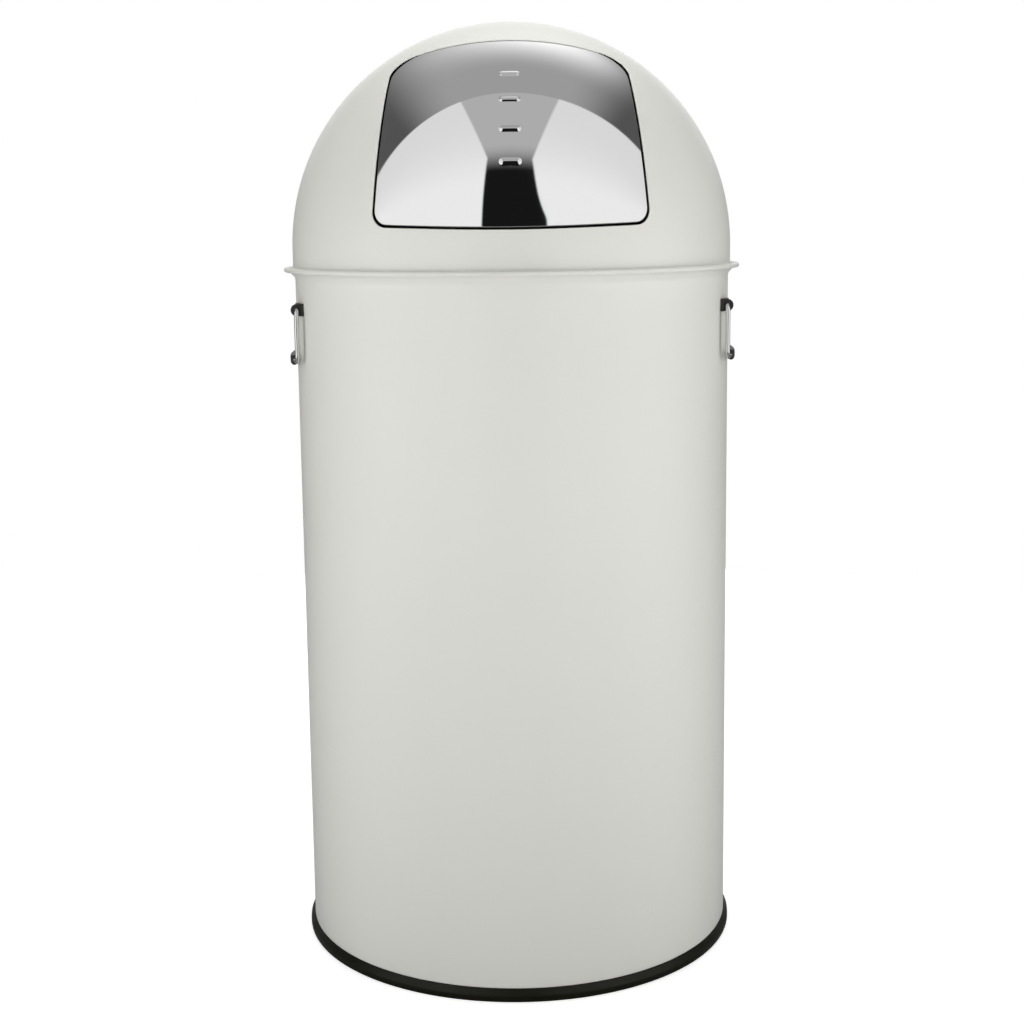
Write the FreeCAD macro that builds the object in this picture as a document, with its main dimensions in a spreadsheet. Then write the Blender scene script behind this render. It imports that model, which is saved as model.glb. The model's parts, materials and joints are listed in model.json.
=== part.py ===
import FreeCAD
import Part
import math
import os
import re

import Sketcher
from FreeCAD import Placement, Rotation, Vector

# Domed push-top waste can, in millimetres.
# The can stands on the plane z = 0, its axis is Z and the flap faces -Y.

# Driving sizes: one cell each in the sheet.
SIZES = {
    # body
    "body_radius": 170.0,        # outside of the straight wall
    "body_height": 537.9,        # floor to the top of the rolled rim
    "body_sheet": 0.8,
    "flare_rise": 4.4,           # height of the flared mouth
    "flare_out": 4.0,            # how far the mouth flares
    "rim_width": 4.6,            # rolled rim, beyond the flare
    "rim_height": 3.5,
    "rim_round": 1.5,
    # foot
    "nest_gap": 0.1,             # between pieces that nest and stay together
    "ring_height": 10.0,
    "ring_proud": 3.6,           # beyond the wall at its widest
    "ring_lip": 0.9,             # thickness of its top edge
    "ring_belly": 4.0,           # height of its widest place
    "ring_round": 1.6,
    "ring_floor": 3.0,           # under the edge of the shell
    "ring_wall": 2.4,            # inner wall of the channel
    "ring_inner_height": 8.0,
    "plate_sheet": 1.0,
    "plate_top": 14.0,           # height of the inside floor
    "plate_bend": 4.0,
    # liner
    "liner_room": 22.2,          # between the wall and the top of the liner
    "liner_draft": 7.0,          # how much narrower the liner's foot is
    "liner_drop": 40.0,          # liner's top below the flare
    "liner_sheet": 0.8,
    "liner_rim": 3.0,
    "liner_foot": 6.0,           # height of its raised bottom
    "liner_bend": 2.0,
    "pivot_drop": 16.0,          # bail pivot below the liner's top
    "lug_sheet": 1.5,
    "lug_width": 20.0,
    "lug_above": 8.0,            # lug over the pivot
    "lug_below": 18.0,           # lug under the pivot
    "lug_stand": 0.25,           # clear of the round wall
    "boss_radius": 5.5,
    "boss_length": 4.0,
    "lug_rivet_radius": 1.6,
    "lug_rivet_head": 3.0,
    "lug_rivet_crown": 1.2,
    "lug_rivet_pitch": 11.0,
    "lug_rivet_drop": 10.0,      # rivets below the pivot
    "bail_wire": 4.5,
    "bail_bend": 5.0,
    "bail_lean": 0.85,           # clear of the wall that it leans on
    "pivot_play": 0.06,          # radial play of wire ends in their bores
    # side handles
    "handle_drop": 30.9,         # hinge line below the top of the rim
    "handle_fall": 39.0,         # hinge line to the lower run
    "handle_half": 68.0,         # half the distance between the legs
    "handle_wire": 3.6,
    "handle_bend": 4.0,
    "handle_stub": 7.0,          # straight end inside the ear
    "handle_clear": 0.4,         # leg to ear, and grip to shell
    "ear_length": 7.0,
    "hinge_off": 4.0,            # hinge line outside the wall at the ears
    "knuckle_radius": 4.7,
    "pad_thickness": 2.5,
    "pad_above": 4.7,            # pad over the hinge line
    "pad_below": 4.7,            # pad under the hinge line
    "pad_width": 7.2,            # under the knuckle
    "pad_inward": 15.2,          # pad past the knuckle, round the body
    "ear_screw_radius": 1.9,
    "ear_screw_head": 3.4,
    "ear_screw_crown": 1.8,
    "ear_screw_inward": 10.0,    # screw from the knuckle's middle, round the body
    "ear_screw_tail": 1.0,       # thread past the nut
    "screw_play": 0.1,
    "nut_radius": 4.2,           # over the corners
    "nut_height": 2.8,
    "grip_half": 48.0,
    "grip_height": 7.8,
    "grip_thickness": 4.8,
    # lid
    "dome_over": 1.5,            # dome's radius over the body's
    "dome_sheet": 0.9,
    "dome_rise": 13.6,           # top of the rim to the dome's centre
    "neck_in": 0.9,              # the skirt is drawn in above the rim
    "neck_above": 0.6,
    "neck_ease": 3.0,
    "lid_play": 0.5,             # spigot in the body
    "seat_gap": 0.4,             # shoulder over the flare
    "spigot_depth": 15.0,        # below the flare's start
    # push opening, in a plane tilted back from upright
    "flap_tilt": 56.4,           # degrees
    "opening_top": 80.0,
    "opening_low": 82.0,
    "opening_half": 86.5,        # half width at the top
    "side_slope": 0.088,         # widening per millimetre downwards
    "bottom_bow": 262.0,         # radius of the bottom edge
    "corner_top": 20.0,
    "corner_low": 14.0,
    "gap_side": 1.2,
    "gap_top": 0.9,
    "gap_low": 1.1,
    "corner_gap": 3.5,           # flap's top corners, rounder than the opening's
    # flap
    "flap_sheet": 1.0,
    "flap_lip": 6.0,             # depth of the turned-in edge
    "flap_round": 1.2,
    "rib_length": 16.0,
    "rib_width": 6.0,
    "rib_height": 0.8,
    "rib_pitch": 25.0,
    "leaf_inset": 20.5,          # its ends, in from the opening's
    "leaf_lap": 8.0,             # under the dome, past the opening
    "leaf_hold": 20.0,           # under the flap
    "leaf_sheet": 1.2,
    "leaf_gap": 0.3,             # weld gap to the flap
    # hinge
    "pin_behind": 7.1,           # degrees behind the opening's top edge
    "pin_cover": 5.3,            # from the dome's inner face to the pin's ends
    "pin_radius": 2.5,
    "pin_play": 0.05,
    "pin_end": 4.5,              # pin past the bracket
    "eye_radius": 6.0,
    "hinge_plate": 2.0,
    "ear_inset": 24.5,           # flap ears, in from the opening's sides
    "bracket_inset": 14.5,
    "web_length": 24.0,          # flap ear, down the slope
    "web_drop": 3.0,             # webs reach below the pin
    "bracket_length": 16.0,      # bracket, up the slope
    "foot_width": 12.0,
    "foot_start": 4.0,           # foot begins above the pin
    "foot_sheet": 1.2,
    "clip_radius": 4.8,
    "clip_sheet": 0.8,
    "clip_gap": 0.4,
    "spring_wire": 1.2,
    "spring_radius": 4.6,        # mean radius of the coil
    "spring_gap": 0.4,           # coil to the plates beside it
    "spring_reach": 20.0,        # leg under the leaf
    "spring_lift": 10.8,         # degrees, slope of that leg
    "spring_hook": 8.0,          # leg behind the bracket
}

# Sizes that follow from the driving ones, as formulas in the same sheet.
DERIVED = {
    "rim_low": "body_height - rim_height",
    "flare_start": "rim_low - flare_rise",
    "body_inner": "body_radius - body_sheet",
    "mouth_radius": "body_radius + flare_out",
    "plate_radius": "body_inner - nest_gap",
    "channel_inner": "plate_radius - plate_sheet - nest_gap",
    "liner_radius": "body_inner - liner_room",
    "liner_low_radius": "liner_radius - liner_draft",
    "liner_top": "flare_start - liner_drop",
    "liner_height": "liner_top - plate_top",
    "liner_pan_radius": "liner_low_radius - liner_sheet - nest_gap",
    "pivot_height": "liner_top - pivot_drop",
    "pivot_wall": "liner_radius - liner_draft * pivot_drop / liner_height",
    "lug_face": "pivot_wall + lug_stand",
    "lug_outer": "lug_face + lug_sheet",
    "boss_end": "lug_outer + boss_length",
    "bail_radius": "boss_end + bail_bend + handle_clear",
    "bail_apex": "bail_radius + bail_bend",
    "bail_drop": "sqrt(bail_apex ^ 2 - pivot_wall ^ 2)",
    "bail_wall": "pivot_wall - liner_draft * bail_drop / liner_height",
    "bail_rest": "acos((bail_wall + bail_wire / 2 + bail_lean) / bail_apex) / 1 deg",
    "handle_height": "body_height - handle_drop",
    "stub_end": "handle_half - handle_bend - handle_stub",
    "ear_outer": "handle_half - handle_bend - handle_clear",
    "ear_middle": "ear_outer - ear_length / 2",
    "hinge_x": "sqrt(body_radius ^ 2 - ear_middle ^ 2) + hinge_off",
    "run_x": "body_radius + handle_clear + grip_thickness / 2",
    "handle_low": "handle_height - handle_fall",
    "ear_turn": "asin(ear_middle / body_radius) / 1 deg",
    "ear_screw_turn": "asin((ear_middle - ear_screw_inward) / body_radius) / 1 deg",
    "dome_radius": "body_radius + dome_over",
    "dome_inner": "dome_radius - dome_sheet",
    "dome_centre": "body_height + dome_rise",
    "neck_radius": "dome_radius - neck_in",
    "neck_top": "body_height + neck_above",
    "spigot_radius": "body_inner - lid_play",
    "spigot_low": "flare_start - spigot_depth",
    "seat_pitch": "flare_rise / flare_out",
    "shoulder_low": "flare_start - (lid_play - seat_gap) * seat_pitch",
    "shoulder_top": "shoulder_low + (neck_radius - spigot_radius) * seat_pitch",
    "cutter_start": "dome_radius * 0.4",
    "cutter_length": "dome_radius",
    "flap_inner": "dome_radius - flap_sheet",
    "leaf_outer": "flap_inner - leaf_gap",
    "leaf_inner": "leaf_outer - leaf_sheet",
    "leaf_half": "opening_half - leaf_inset",
    "flap_ear_at": "opening_half - ear_inset",
    "bracket_at": "opening_half - bracket_inset",
    "pin_half": "bracket_at + hinge_plate / 2 + pin_end",
    "pin_arm": "sqrt((dome_inner - pin_cover) ^ 2 - pin_half ^ 2)",
    "pin_depth": "dome_inner - pin_arm",
    "pin_polar": "flap_tilt - asin(opening_top / dome_radius) / 1 deg - pin_behind",
    "pin_y": "-pin_arm * sin(pin_polar)",
    "pin_z": "dome_centre + pin_arm * cos(pin_polar)",
    "clip_at": "bracket_at + hinge_plate / 2 + clip_gap",
    "spring_start": "flap_ear_at + hinge_plate / 2 + spring_gap + spring_wire / 2",
    "spring_end": "bracket_at - hinge_plate / 2 - spring_gap - spring_wire / 2",
}

RIB_COUNT = 4
SPRING_TURNS = 3             # whole turns of each torsion spring
SPRING_EASE = math.pi / 2    # turn over which the coil takes up its pitch
SPRING_SAMPLES = 200         # places where the gap between turns is measured
TOUCH = 0.01                 # distance at which a point counts as on a face
X_AXIS = Vector(1, 0, 0)
Y_AXIS = Vector(0, 1, 0)
Z_AXIS = Vector(0, 0, 1)
RUNS = {"X": Rotation(Y_AXIS, 90), "Y": Rotation(X_AXIS, -90), "Z": Rotation()}

doc = FreeCAD.newDocument("PushCan")
sheet = doc.addObject("Spreadsheet::Sheet", "Sizes")


def fill_sheet():
    rows = {name: str(value) for name, value in SIZES.items()}
    rows.update({name: "=" + formula for name, formula in DERIVED.items()})
    for row, (name, content) in enumerate(rows.items(), start=1):
        sheet.set("A%d" % row, name)
        sheet.set("B%d" % row, content)
        sheet.setAlias("B%d" % row, name)
    doc.recompute()


def size(formula):
    # Value of a formula of sheet names; lengths come without a unit, angles in degrees.
    value = sheet.evalExpression(formula)
    return float(getattr(value, "Value", value))


def bound(formula):
    # The same formula, written for an object outside the sheet.
    def link(match):
        word = match.group()
        return "Sizes." + word if word in SIZES or word in DERIVED else word
    return re.sub(r"[a-z_]+", link, formula)


def bind(item, **formulas):
    for name, formula in formulas.items():
        item.setExpression(name, bound(formula))
    return item


def place(item, x="0", y="0", z="0", turn="0", about=X_AXIS):
    item.Placement = Placement(Vector(size(x), size(y), size(z)), Rotation(about, size(turn)))
    for name, formula in (("x", x), ("y", y), ("z", z)):
        if formula != "0":
            item.setExpression("Placement.Base." + name, bound(formula))
    if turn != "0" and size(turn) != 0:
        item.setExpression("Placement.Rotation.Angle", bound(turn))
    return item


def primitive(kind, name, **formulas):
    return bind(doc.addObject("Part::" + kind, name), **formulas)


def cut(name, base, tool):
    item = doc.addObject("Part::Cut", name)
    item.Base = base
    item.Tool = tool
    return item


def fuse(name, pieces):
    item = doc.addObject("Part::MultiFuse", name)
    item.Shapes = pieces
    item.Refine = True
    return item


def common(name, pieces):
    item = doc.addObject("Part::MultiCommon", name)
    item.Shapes = pieces
    return item


def group(name, pieces):
    item = doc.addObject("Part::Compound", name)
    item.Links = pieces
    return item


def mirrored(name, source, across=X_AXIS):
    # The same piece on the other side of the plane through the can's axis.
    item = doc.addObject("Part::Mirroring", name)
    item.Source = source
    item.Normal = across
    return item


def rounded(name, source, radius_at):
    # Fillet the edges for which a function gives a radius.
    doc.recompute()
    radii = [(i, radius_at(edge)) for i, edge in enumerate(source.Shape.Edges, start=1)]
    item = doc.addObject("Part::Fillet", name)
    item.Base = source
    item.Edges = [(i, radius, radius) for i, radius in radii if radius]
    return item


def edge_middle(edge):
    return edge.valueAt((edge.FirstParameter + edge.LastParameter) / 2)


def rod(name, radius, length, x="0", y="0", z="0", along="Z"):
    # Cylinder that starts at a point and runs along X, Y or Z.
    item = place(primitive("Cylinder", name, Radius=radius, Height=length), x, y, z)
    item.Placement = Placement(item.Placement.Base, RUNS[along])
    return item


def block(name, low, high):
    # Box between two corners given as formulas.
    spans = ["%s - (%s)" % pair for pair in zip(high, low)]
    item = primitive("Box", name, Length=spans[0], Width=spans[1], Height=spans[2])
    return place(item, *low)


def sphere(name, radius):
    return place(primitive("Sphere", name, Radius=radius), z="dome_centre")


def origin_plane(body, role):
    return next(plane for plane in body.Origin.OriginFeatures if plane.Role == role)


def corner_arc(before, corner, after, radius):
    # Arc that rounds a corner: centre, entry point, exit point and the side it turns to.
    back = (before - corner).normalize()
    ahead = (after - corner).normalize()
    half = back.getAngle(ahead) / 2
    reach = radius / math.tan(half)
    middle = (back + ahead).normalize()
    centre = corner + middle * (radius / math.sin(half))
    left = ahead.cross(back).z > 0
    return centre, corner + back * reach, corner + ahead * reach, left


def angle_of(point, centre):
    return math.atan2(point.y - centre.y, point.x - centre.x)


def draw_outline(sketch, corners):
    # Closed outline through corners given as formulas (x, y), or (x, y, "round", radius)
    # for a rounded corner, or (x, y, "arc", radius) for an edge that leaves as an arc
    # turning left, or right where the radius has a minus sign.
    points = [Vector(size(corner[0]), size(corner[1]), 0) for corner in corners]
    count = len(points)
    starts = list(points)
    ends = list(points)
    arcs = {}
    for i, corner in enumerate(corners):
        if corner[2:3] == ("round",):
            before, after = points[i - 1], points[(i + 1) % count]
            arcs[i] = corner_arc(before, points[i], after, size(corner[3]))
            ends[i], starts[i] = arcs[i][1], arcs[i][2]
    edges = []
    for i, corner in enumerate(corners):
        start, end = starts[i], ends[(i + 1) % count]
        if corner[2:3] == ("arc",):
            edges.append(add_arc_edge(sketch, start, end, corner[3]))
        else:
            edges.append((sketch.addGeometry(Part.LineSegment(start, end)), 1, 2))
    for i, corner in enumerate(corners):
        before, after = edges[i - 1], edges[i]
        if i in arcs:
            holder = round_corner(sketch, arcs[i], before, after, points[i], corner[3])
        else:
            sketch.addConstraint(Sketcher.Constraint("Coincident", before[0], before[2], after[0], after[1]))
            holder = (after[0], after[1])
        pin_point(sketch, holder, corner)


def add_arc_edge(sketch, start, end, radius):
    # Arc of less than a half circle from start to end.
    reach = size(radius)
    chord = end - start
    side = Vector(-chord.y, chord.x, 0).normalize()
    rise = math.sqrt(reach ** 2 - (chord.Length / 2) ** 2)
    centre = (start + end) * 0.5 + side * math.copysign(rise, reach)
    circle = Part.Circle(centre, Z_AXIS, abs(reach))
    first, last = (start, end) if reach > 0 else (end, start)
    edge = sketch.addGeometry(Part.ArcOfCircle(circle, angle_of(first, centre), angle_of(last, centre)))
    rule = sketch.addConstraint(Sketcher.Constraint("Radius", edge, abs(reach)))
    sketch.setExpression("Constraints[%d]" % rule, bound("abs(%s)" % radius))
    return (edge, 1, 2) if reach > 0 else (edge, 2, 1)


def round_corner(sketch, arc, before, after, corner, radius):
    centre, entry, leave, left = arc
    circle = Part.Circle(centre, Z_AXIS, size(radius))
    first, last = (entry, leave) if left else (leave, entry)
    edge = sketch.addGeometry(Part.ArcOfCircle(circle, angle_of(first, centre), angle_of(last, centre)))
    entry_end, leave_end = (1, 2) if left else (2, 1)
    sketch.addConstraint(Sketcher.Constraint("Tangent", before[0], before[2], edge, entry_end))
    sketch.addConstraint(Sketcher.Constraint("Tangent", edge, leave_end, after[0], after[1]))
    rule = sketch.addConstraint(Sketcher.Constraint("Radius", edge, size(radius)))
    sketch.setExpression("Constraints[%d]" % rule, bound(radius))
    point = sketch.addGeometry(Part.Point(corner), True)
    sketch.addConstraint(Sketcher.Constraint("PointOnObject", point, 1, before[0]))
    sketch.addConstraint(Sketcher.Constraint("PointOnObject", point, 1, after[0]))
    return point, 1


def pin_point(sketch, holder, corner):
    for axis, formula in zip("XY", corner[:2]):
        rule = sketch.addConstraint(
            Sketcher.Constraint("Distance" + axis, -1, 1, holder[0], holder[1], size(formula)))
        sketch.setExpression("Constraints[%d]" % rule, bound(formula))


def turned(name, corners):
    # Piece turned about Z from its outline of radius and height.
    body = doc.addObject("PartDesign::Body", name)
    sketch = body.newObject("Sketcher::SketchObject", name + "_profile")
    sketch.AttachmentSupport = (origin_plane(body, "XZ_Plane"), [""])
    sketch.MapMode = "FlatFace"
    draw_outline(sketch, corners)
    turn = body.newObject("PartDesign::Revolution", name + "_turn")
    turn.Profile = sketch
    turn.ReferenceAxis = (sketch, ["V_Axis"])
    turn.Angle = 360
    return body


def extruded(name, corners, length, start="0"):
    # Prism along Z from an outline in the XY plane.
    sketch = doc.addObject("Sketcher::SketchObject", name + "_outline")
    draw_outline(sketch, corners)
    item = doc.addObject("Part::Extrusion", name)
    item.Base = sketch
    item.DirMode = "Custom"
    item.Dir = Z_AXIS
    item.Solid = True
    bind(item, LengthFwd=length)
    return place(item, z=start)


def tangent_arc(start, knee, end):
    # Arc from start to end that leaves and arrives along the lines to the knee.
    middle = (start + end) * 0.5
    half = (end - start).Length / 2
    leg = (knee - start).Length
    height = (knee - middle).Length
    crown = middle + (knee - middle) * (half * (leg - half) / height ** 2)
    return Part.Arc(start, crown, end).toShape()


def line(start, end):
    return Part.LineSegment(start, end).toShape()


def bend_or_line(points):
    # Edge through two points, or an arc between the outer two of three.
    return line(*points) if len(points) == 2 else tangent_arc(*points)


def biarc(start, heading, end, end_heading):
    # Two arcs from start to end that keep both headings.
    chord = end - start
    both = heading + end_heading
    spread = 2 * (1 - heading.dot(end_heading))
    pull = chord.dot(both)
    reach = (math.sqrt(pull ** 2 + spread * chord.dot(chord)) - pull) / spread
    knee, end_knee = start + heading * reach, end - end_heading * reach
    joint = (knee + end_knee) * 0.5
    return [tangent_arc(start, knee, joint), tangent_arc(joint, end_knee, end)]


def wire_piece(name, edges, diameter):
    # Round wire bent along tangent lines and arcs.
    path = Part.Wire(edges)
    start = edges[0].valueAt(edges[0].FirstParameter)
    direction = edges[0].tangentAt(edges[0].FirstParameter)
    section = Part.Wire(Part.makeCircle(diameter / 2, start, direction))
    item = doc.addObject("Part::Feature", name)
    item.Shape = path.makePipeShell([section], True, False)
    return item


def build_foot():
    # Black ring with a channel for the edges of the shell and the plate.
    outer = "body_radius + ring_proud"
    ring = turned("base_ring", [
        ("channel_inner - ring_wall", "0"),
        (outer + " - ring_round", "0"),
        (outer, "ring_belly", "round", "ring_round"),
        ("body_radius + nest_gap + ring_lip", "ring_height"),
        ("body_radius + nest_gap", "ring_height"),
        ("body_radius + nest_gap", "ring_floor"),
        ("channel_inner", "ring_floor"),
        ("channel_inner", "ring_inner_height"),
        ("channel_inner - ring_wall", "ring_inner_height"),
    ])
    plate = turned("base_plate", [
        ("0", "plate_top - plate_sheet"),
        ("plate_radius - plate_sheet", "plate_top - plate_sheet", "round", "plate_bend - plate_sheet"),
        ("plate_radius - plate_sheet", "ring_floor"),
        ("plate_radius", "ring_floor"),
        ("plate_radius", "plate_top", "round", "plate_bend"),
        ("0", "plate_top"),
    ])
    return [ring, plate]


def ear_screw_holes():
    # Radial holes for the ear screws, front and back, right and left.
    bore = rod("screw_bore", "ear_screw_radius + screw_play", "body_radius", z="handle_height", along="X")
    right = place(group("right_back_hole", [bore]), turn="ear_screw_turn", about=Z_AXIS)
    pair = group("right_holes", [right, mirrored("right_front_hole", right, Y_AXIS)])
    return group("screw_holes", [pair, mirrored("left_holes", pair)])


def build_shell():
    blank = turned("shell_blank", [
        ("body_inner", "ring_floor"),
        ("body_radius", "ring_floor"),
        ("body_radius", "flare_start"),
        ("mouth_radius", "rim_low"),
        ("mouth_radius + rim_width", "rim_low", "round", "rim_round"),
        ("mouth_radius + rim_width", "body_height", "round", "rim_round"),
        ("mouth_radius", "body_height"),
        ("mouth_radius - body_sheet", "rim_low"),
        ("body_inner", "flare_start"),
    ])
    return cut("body_shell", blank, ear_screw_holes())


def build_handle_mounts():
    # Ears, screws and nuts of the right side, and the same mirrored to the left.
    knuckle = rod("knuckle", "knuckle_radius", "ear_length",
                  "hinge_x", "ear_outer - ear_length", "handle_height", "Y")
    pad_zone = block("pad_zone",
                     ("0", "-pad_inward", "handle_height - pad_below"),
                     ("body_radius * 2", "pad_width / 2", "handle_height + pad_above"))
    pad_skin = rod("pad_skin", "body_radius + pad_thickness", "body_height")
    pad = place(common("ear_pad", [pad_zone, pad_skin]), turn="ear_turn", about=Z_AXIS)
    wall = rod("wall_face", "body_radius + nest_gap", "body_height")
    eye = rod("knuckle_bore", "handle_wire / 2 + pivot_play", "ear_length * 2",
              "hinge_x", "ear_outer - ear_length", "handle_height", "Y")
    hole = rod("pad_bore", "ear_screw_radius + screw_play", "body_radius * 2",
               z="handle_height", along="X")
    hole = place(group("pad_hole", [hole]), turn="ear_screw_turn", about=Z_AXIS)
    seated = cut("ear_seated", fuse("ear_blank", [knuckle, pad]), wall)
    ear = cut("ear_bored", seated, group("ear_bores", [eye, hole]))

    seat = "body_radius + pad_thickness"
    tail = "body_inner - nest_gap - nut_height - ear_screw_tail"
    shank = rod("screw_shank", "ear_screw_radius", seat + " - (%s)" % tail,
                tail, z="handle_height", along="X")
    head = rod("screw_head", "ear_screw_head", "ear_screw_crown", seat, z="handle_height", along="X")
    blank = fuse("screw_blank", [shank, head])
    crown = size(seat + " + ear_screw_crown")
    crown_round = size("ear_screw_crown * 0.6")
    screw = rounded("ear_screw", blank,
                    lambda edge: crown_round if edge.BoundBox.XMin > crown - TOUCH else None)
    place(screw, turn="ear_screw_turn", about=Z_AXIS)

    nut_body = primitive("Prism", "nut_body", Circumradius="nut_radius", Height="nut_height")
    place(nut_body, "body_inner - nest_gap - nut_height", z="handle_height")
    nut_body.Placement = Placement(nut_body.Placement.Base, RUNS["X"])
    thread = rod("nut_bore", "ear_screw_radius + screw_play", "body_radius", z="handle_height", along="X")
    nut = place(cut("ear_nut", nut_body, thread), turn="ear_screw_turn", about=Z_AXIS)

    pieces = []
    for name, item in (("handle_ears", ear), ("ear_screws", screw), ("ear_nuts", nut)):
        pair = group("right_" + name, [item, mirrored("front_" + name, item, Y_AXIS)])
        pieces += [pair, mirrored("left_" + name, pair)]
    return pieces


def handle_run():
    # Radius and half angle of the lower run, an arc that meets both legs' bends.
    bend = size("handle_bend")
    half = size("handle_half")
    turn = 2 * math.atan(size("run_x - hinge_x") / (half + bend))
    return (half - bend * math.cos(turn)) / math.sin(turn), turn


def build_right_handle():
    hinge_x, high, low = size("hinge_x"), size("handle_height"), size("handle_low")
    half, bend, apex = size("handle_half"), size("handle_bend"), size("run_x")
    radius, turn = handle_run()
    reach = apex - radius + radius * math.cos(turn)
    side = radius * math.sin(turn)
    run = Part.Arc(Vector(reach, side, low), Vector(apex, 0, low), Vector(reach, -side, low)).toShape()
    leg = []
    for sign in (1, -1):
        stub = Vector(hinge_x, sign * size("stub_end"), high)
        shoulder = Vector(hinge_x, sign * (half - bend), high)
        top = Vector(hinge_x, sign * half, high - bend)
        foot = Vector(hinge_x, sign * half, low + bend)
        corner = Vector(hinge_x, sign * half, 0)
        leg.append([
            (stub, shoulder), (shoulder, corner + Vector(0, 0, high), top), (top, foot),
            (foot, corner + Vector(0, 0, low), Vector(reach, sign * side, low)),
        ])
    edges = [bend_or_line(points) for points in leg[0]] + [run]
    edges += [bend_or_line(points[::-1]) for points in leg[1][::-1]]
    bail = wire_piece("right_handle_bail", edges, size("handle_wire"))

    profile = doc.addObject("Sketcher::SketchObject", "grip_profile")
    profile.Placement = Placement(Vector(), Rotation(X_AXIS, 90))
    inner, outer = "run_x - grip_thickness / 2", "run_x + grip_thickness / 2"
    low_edge, high_edge = "handle_low - grip_height / 2", "handle_low + grip_height / 2"
    ease = "grip_thickness * 0.45"
    draw_outline(profile, [
        (inner, low_edge, "round", ease), (outer, low_edge, "round", ease),
        (outer, high_edge, "round", ease), (inner, high_edge, "round", ease),
    ])
    blank = doc.addObject("Part::Revolution", "grip_blank")
    blank.Source = profile
    blank.Base = Vector(apex - radius, 0, 0)
    blank.Axis = Z_AXIS
    blank.Angle = 2 * math.degrees(math.asin(size("grip_half") / radius))
    blank.Symmetric = True
    blank.Solid = True
    bore = wire_piece("grip_bore", [run], size("handle_wire + 2 * pivot_play"))
    return [bail, cut("right_handle_grip", blank, bore)]


def build_handles():
    right = build_right_handle()
    left = [mirrored(item.Label.replace("right", "left"), item) for item in right]
    return right + left


def build_liner():
    foot, top = "plate_top", "liner_top"
    blank = turned("liner_blank", [
        ("liner_low_radius - liner_sheet", foot),
        ("liner_low_radius", foot),
        ("liner_radius", "liner_top - liner_rim"),
        ("liner_radius + liner_rim", "liner_top - liner_rim", "round", "liner_rim * 0.45"),
        ("liner_radius + liner_rim", top, "round", "liner_rim * 0.45"),
        ("liner_radius - liner_sheet", top),
    ])
    pan = turned("liner_bottom", [
        ("0", "plate_top + liner_foot - liner_sheet"),
        ("liner_pan_radius - liner_sheet", "plate_top + liner_foot - liner_sheet",
         "round", "liner_bend - liner_sheet"),
        ("liner_pan_radius - liner_sheet", foot),
        ("liner_pan_radius", foot),
        ("liner_pan_radius", "plate_top + liner_foot", "round", "liner_bend"),
        ("0", "plate_top + liner_foot"),
    ])
    rivet_height = "pivot_height - lug_rivet_drop"
    inner_seat = "pivot_wall - liner_sheet - 2 * lug_stand"
    holes = []
    rivets = []
    for name, side in (("back", "lug_rivet_pitch / 2"), ("front", "-lug_rivet_pitch / 2")):
        hole = rod(name + "_rivet_hole", "lug_rivet_radius + screw_play", "liner_room * 2",
                   "pivot_wall - liner_room", side, rivet_height, "X")
        shank = rod(name + "_rivet_shank", "lug_rivet_radius", "lug_outer - (%s)" % inner_seat,
                    inner_seat, side, rivet_height, "X")
        outer_head = rod(name + "_rivet_head", "lug_rivet_head", "lug_rivet_crown",
                         "lug_outer", side, rivet_height, "X")
        inner_head = rod(name + "_rivet_tail", "lug_rivet_head", "lug_rivet_crown",
                         inner_seat + " - lug_rivet_crown", side, rivet_height, "X")
        holes.append(hole)
        rivets.append(fuse(name + "_rivet", [shank, outer_head, inner_head]))
    right_holes = group("right_lug_holes", holes)
    left_holes = mirrored("left_lug_holes", right_holes)
    wall = cut("liner_wall", blank, group("lug_holes", [right_holes, left_holes]))

    strap = block("lug_strap", ("lug_face", "-lug_width / 2", "pivot_height - lug_below"),
                  ("lug_outer", "lug_width / 2", "pivot_height + lug_above"))
    boss = rod("lug_boss", "boss_radius", "boss_end - lug_face", "lug_face", z="pivot_height", along="X")
    eye = rod("lug_eye", "bail_wire / 2 + pivot_play", "body_radius", z="pivot_height", along="X")
    lug = cut("right_lug", fuse("lug_blank", [strap, boss]), group("lug_bores", [eye, right_holes]))
    lugs = group("liner_lugs", [lug, mirrored("left_lug", lug)])
    right_rivets = group("right_lug_rivets", rivets)
    all_rivets = group("lug_rivets", [right_rivets, mirrored("left_lug_rivets", right_rivets)])
    return [wall, pan, lugs, all_rivets, build_liner_bail()]


def build_liner_bail():
    # Half hoop with its ends turned into the lugs, leaning on the back of the liner.
    start = size("lug_face + handle_clear")
    bend, radius = size("bail_bend"), size("bail_radius")
    ends = []
    for sign in (1, -1):
        tip, knee = Vector(sign * start, 0, 0), Vector(sign * radius, 0, 0)
        shoulder, spring_point = Vector(sign * (radius - bend), 0, 0), Vector(sign * radius, bend, 0)
        ends.append([(tip, shoulder), (shoulder, knee, spring_point)])
    hoop = Part.Arc(Vector(radius, bend, 0), Vector(0, radius + bend, 0), Vector(-radius, bend, 0)).toShape()
    edges = [bend_or_line(points) for points in ends[0]] + [hoop]
    edges += [bend_or_line(points[::-1]) for points in ends[1][::-1]]
    bail = wire_piece("liner_bail", edges, size("bail_wire"))
    return place(bail, z="pivot_height", turn="-bail_rest")


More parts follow.
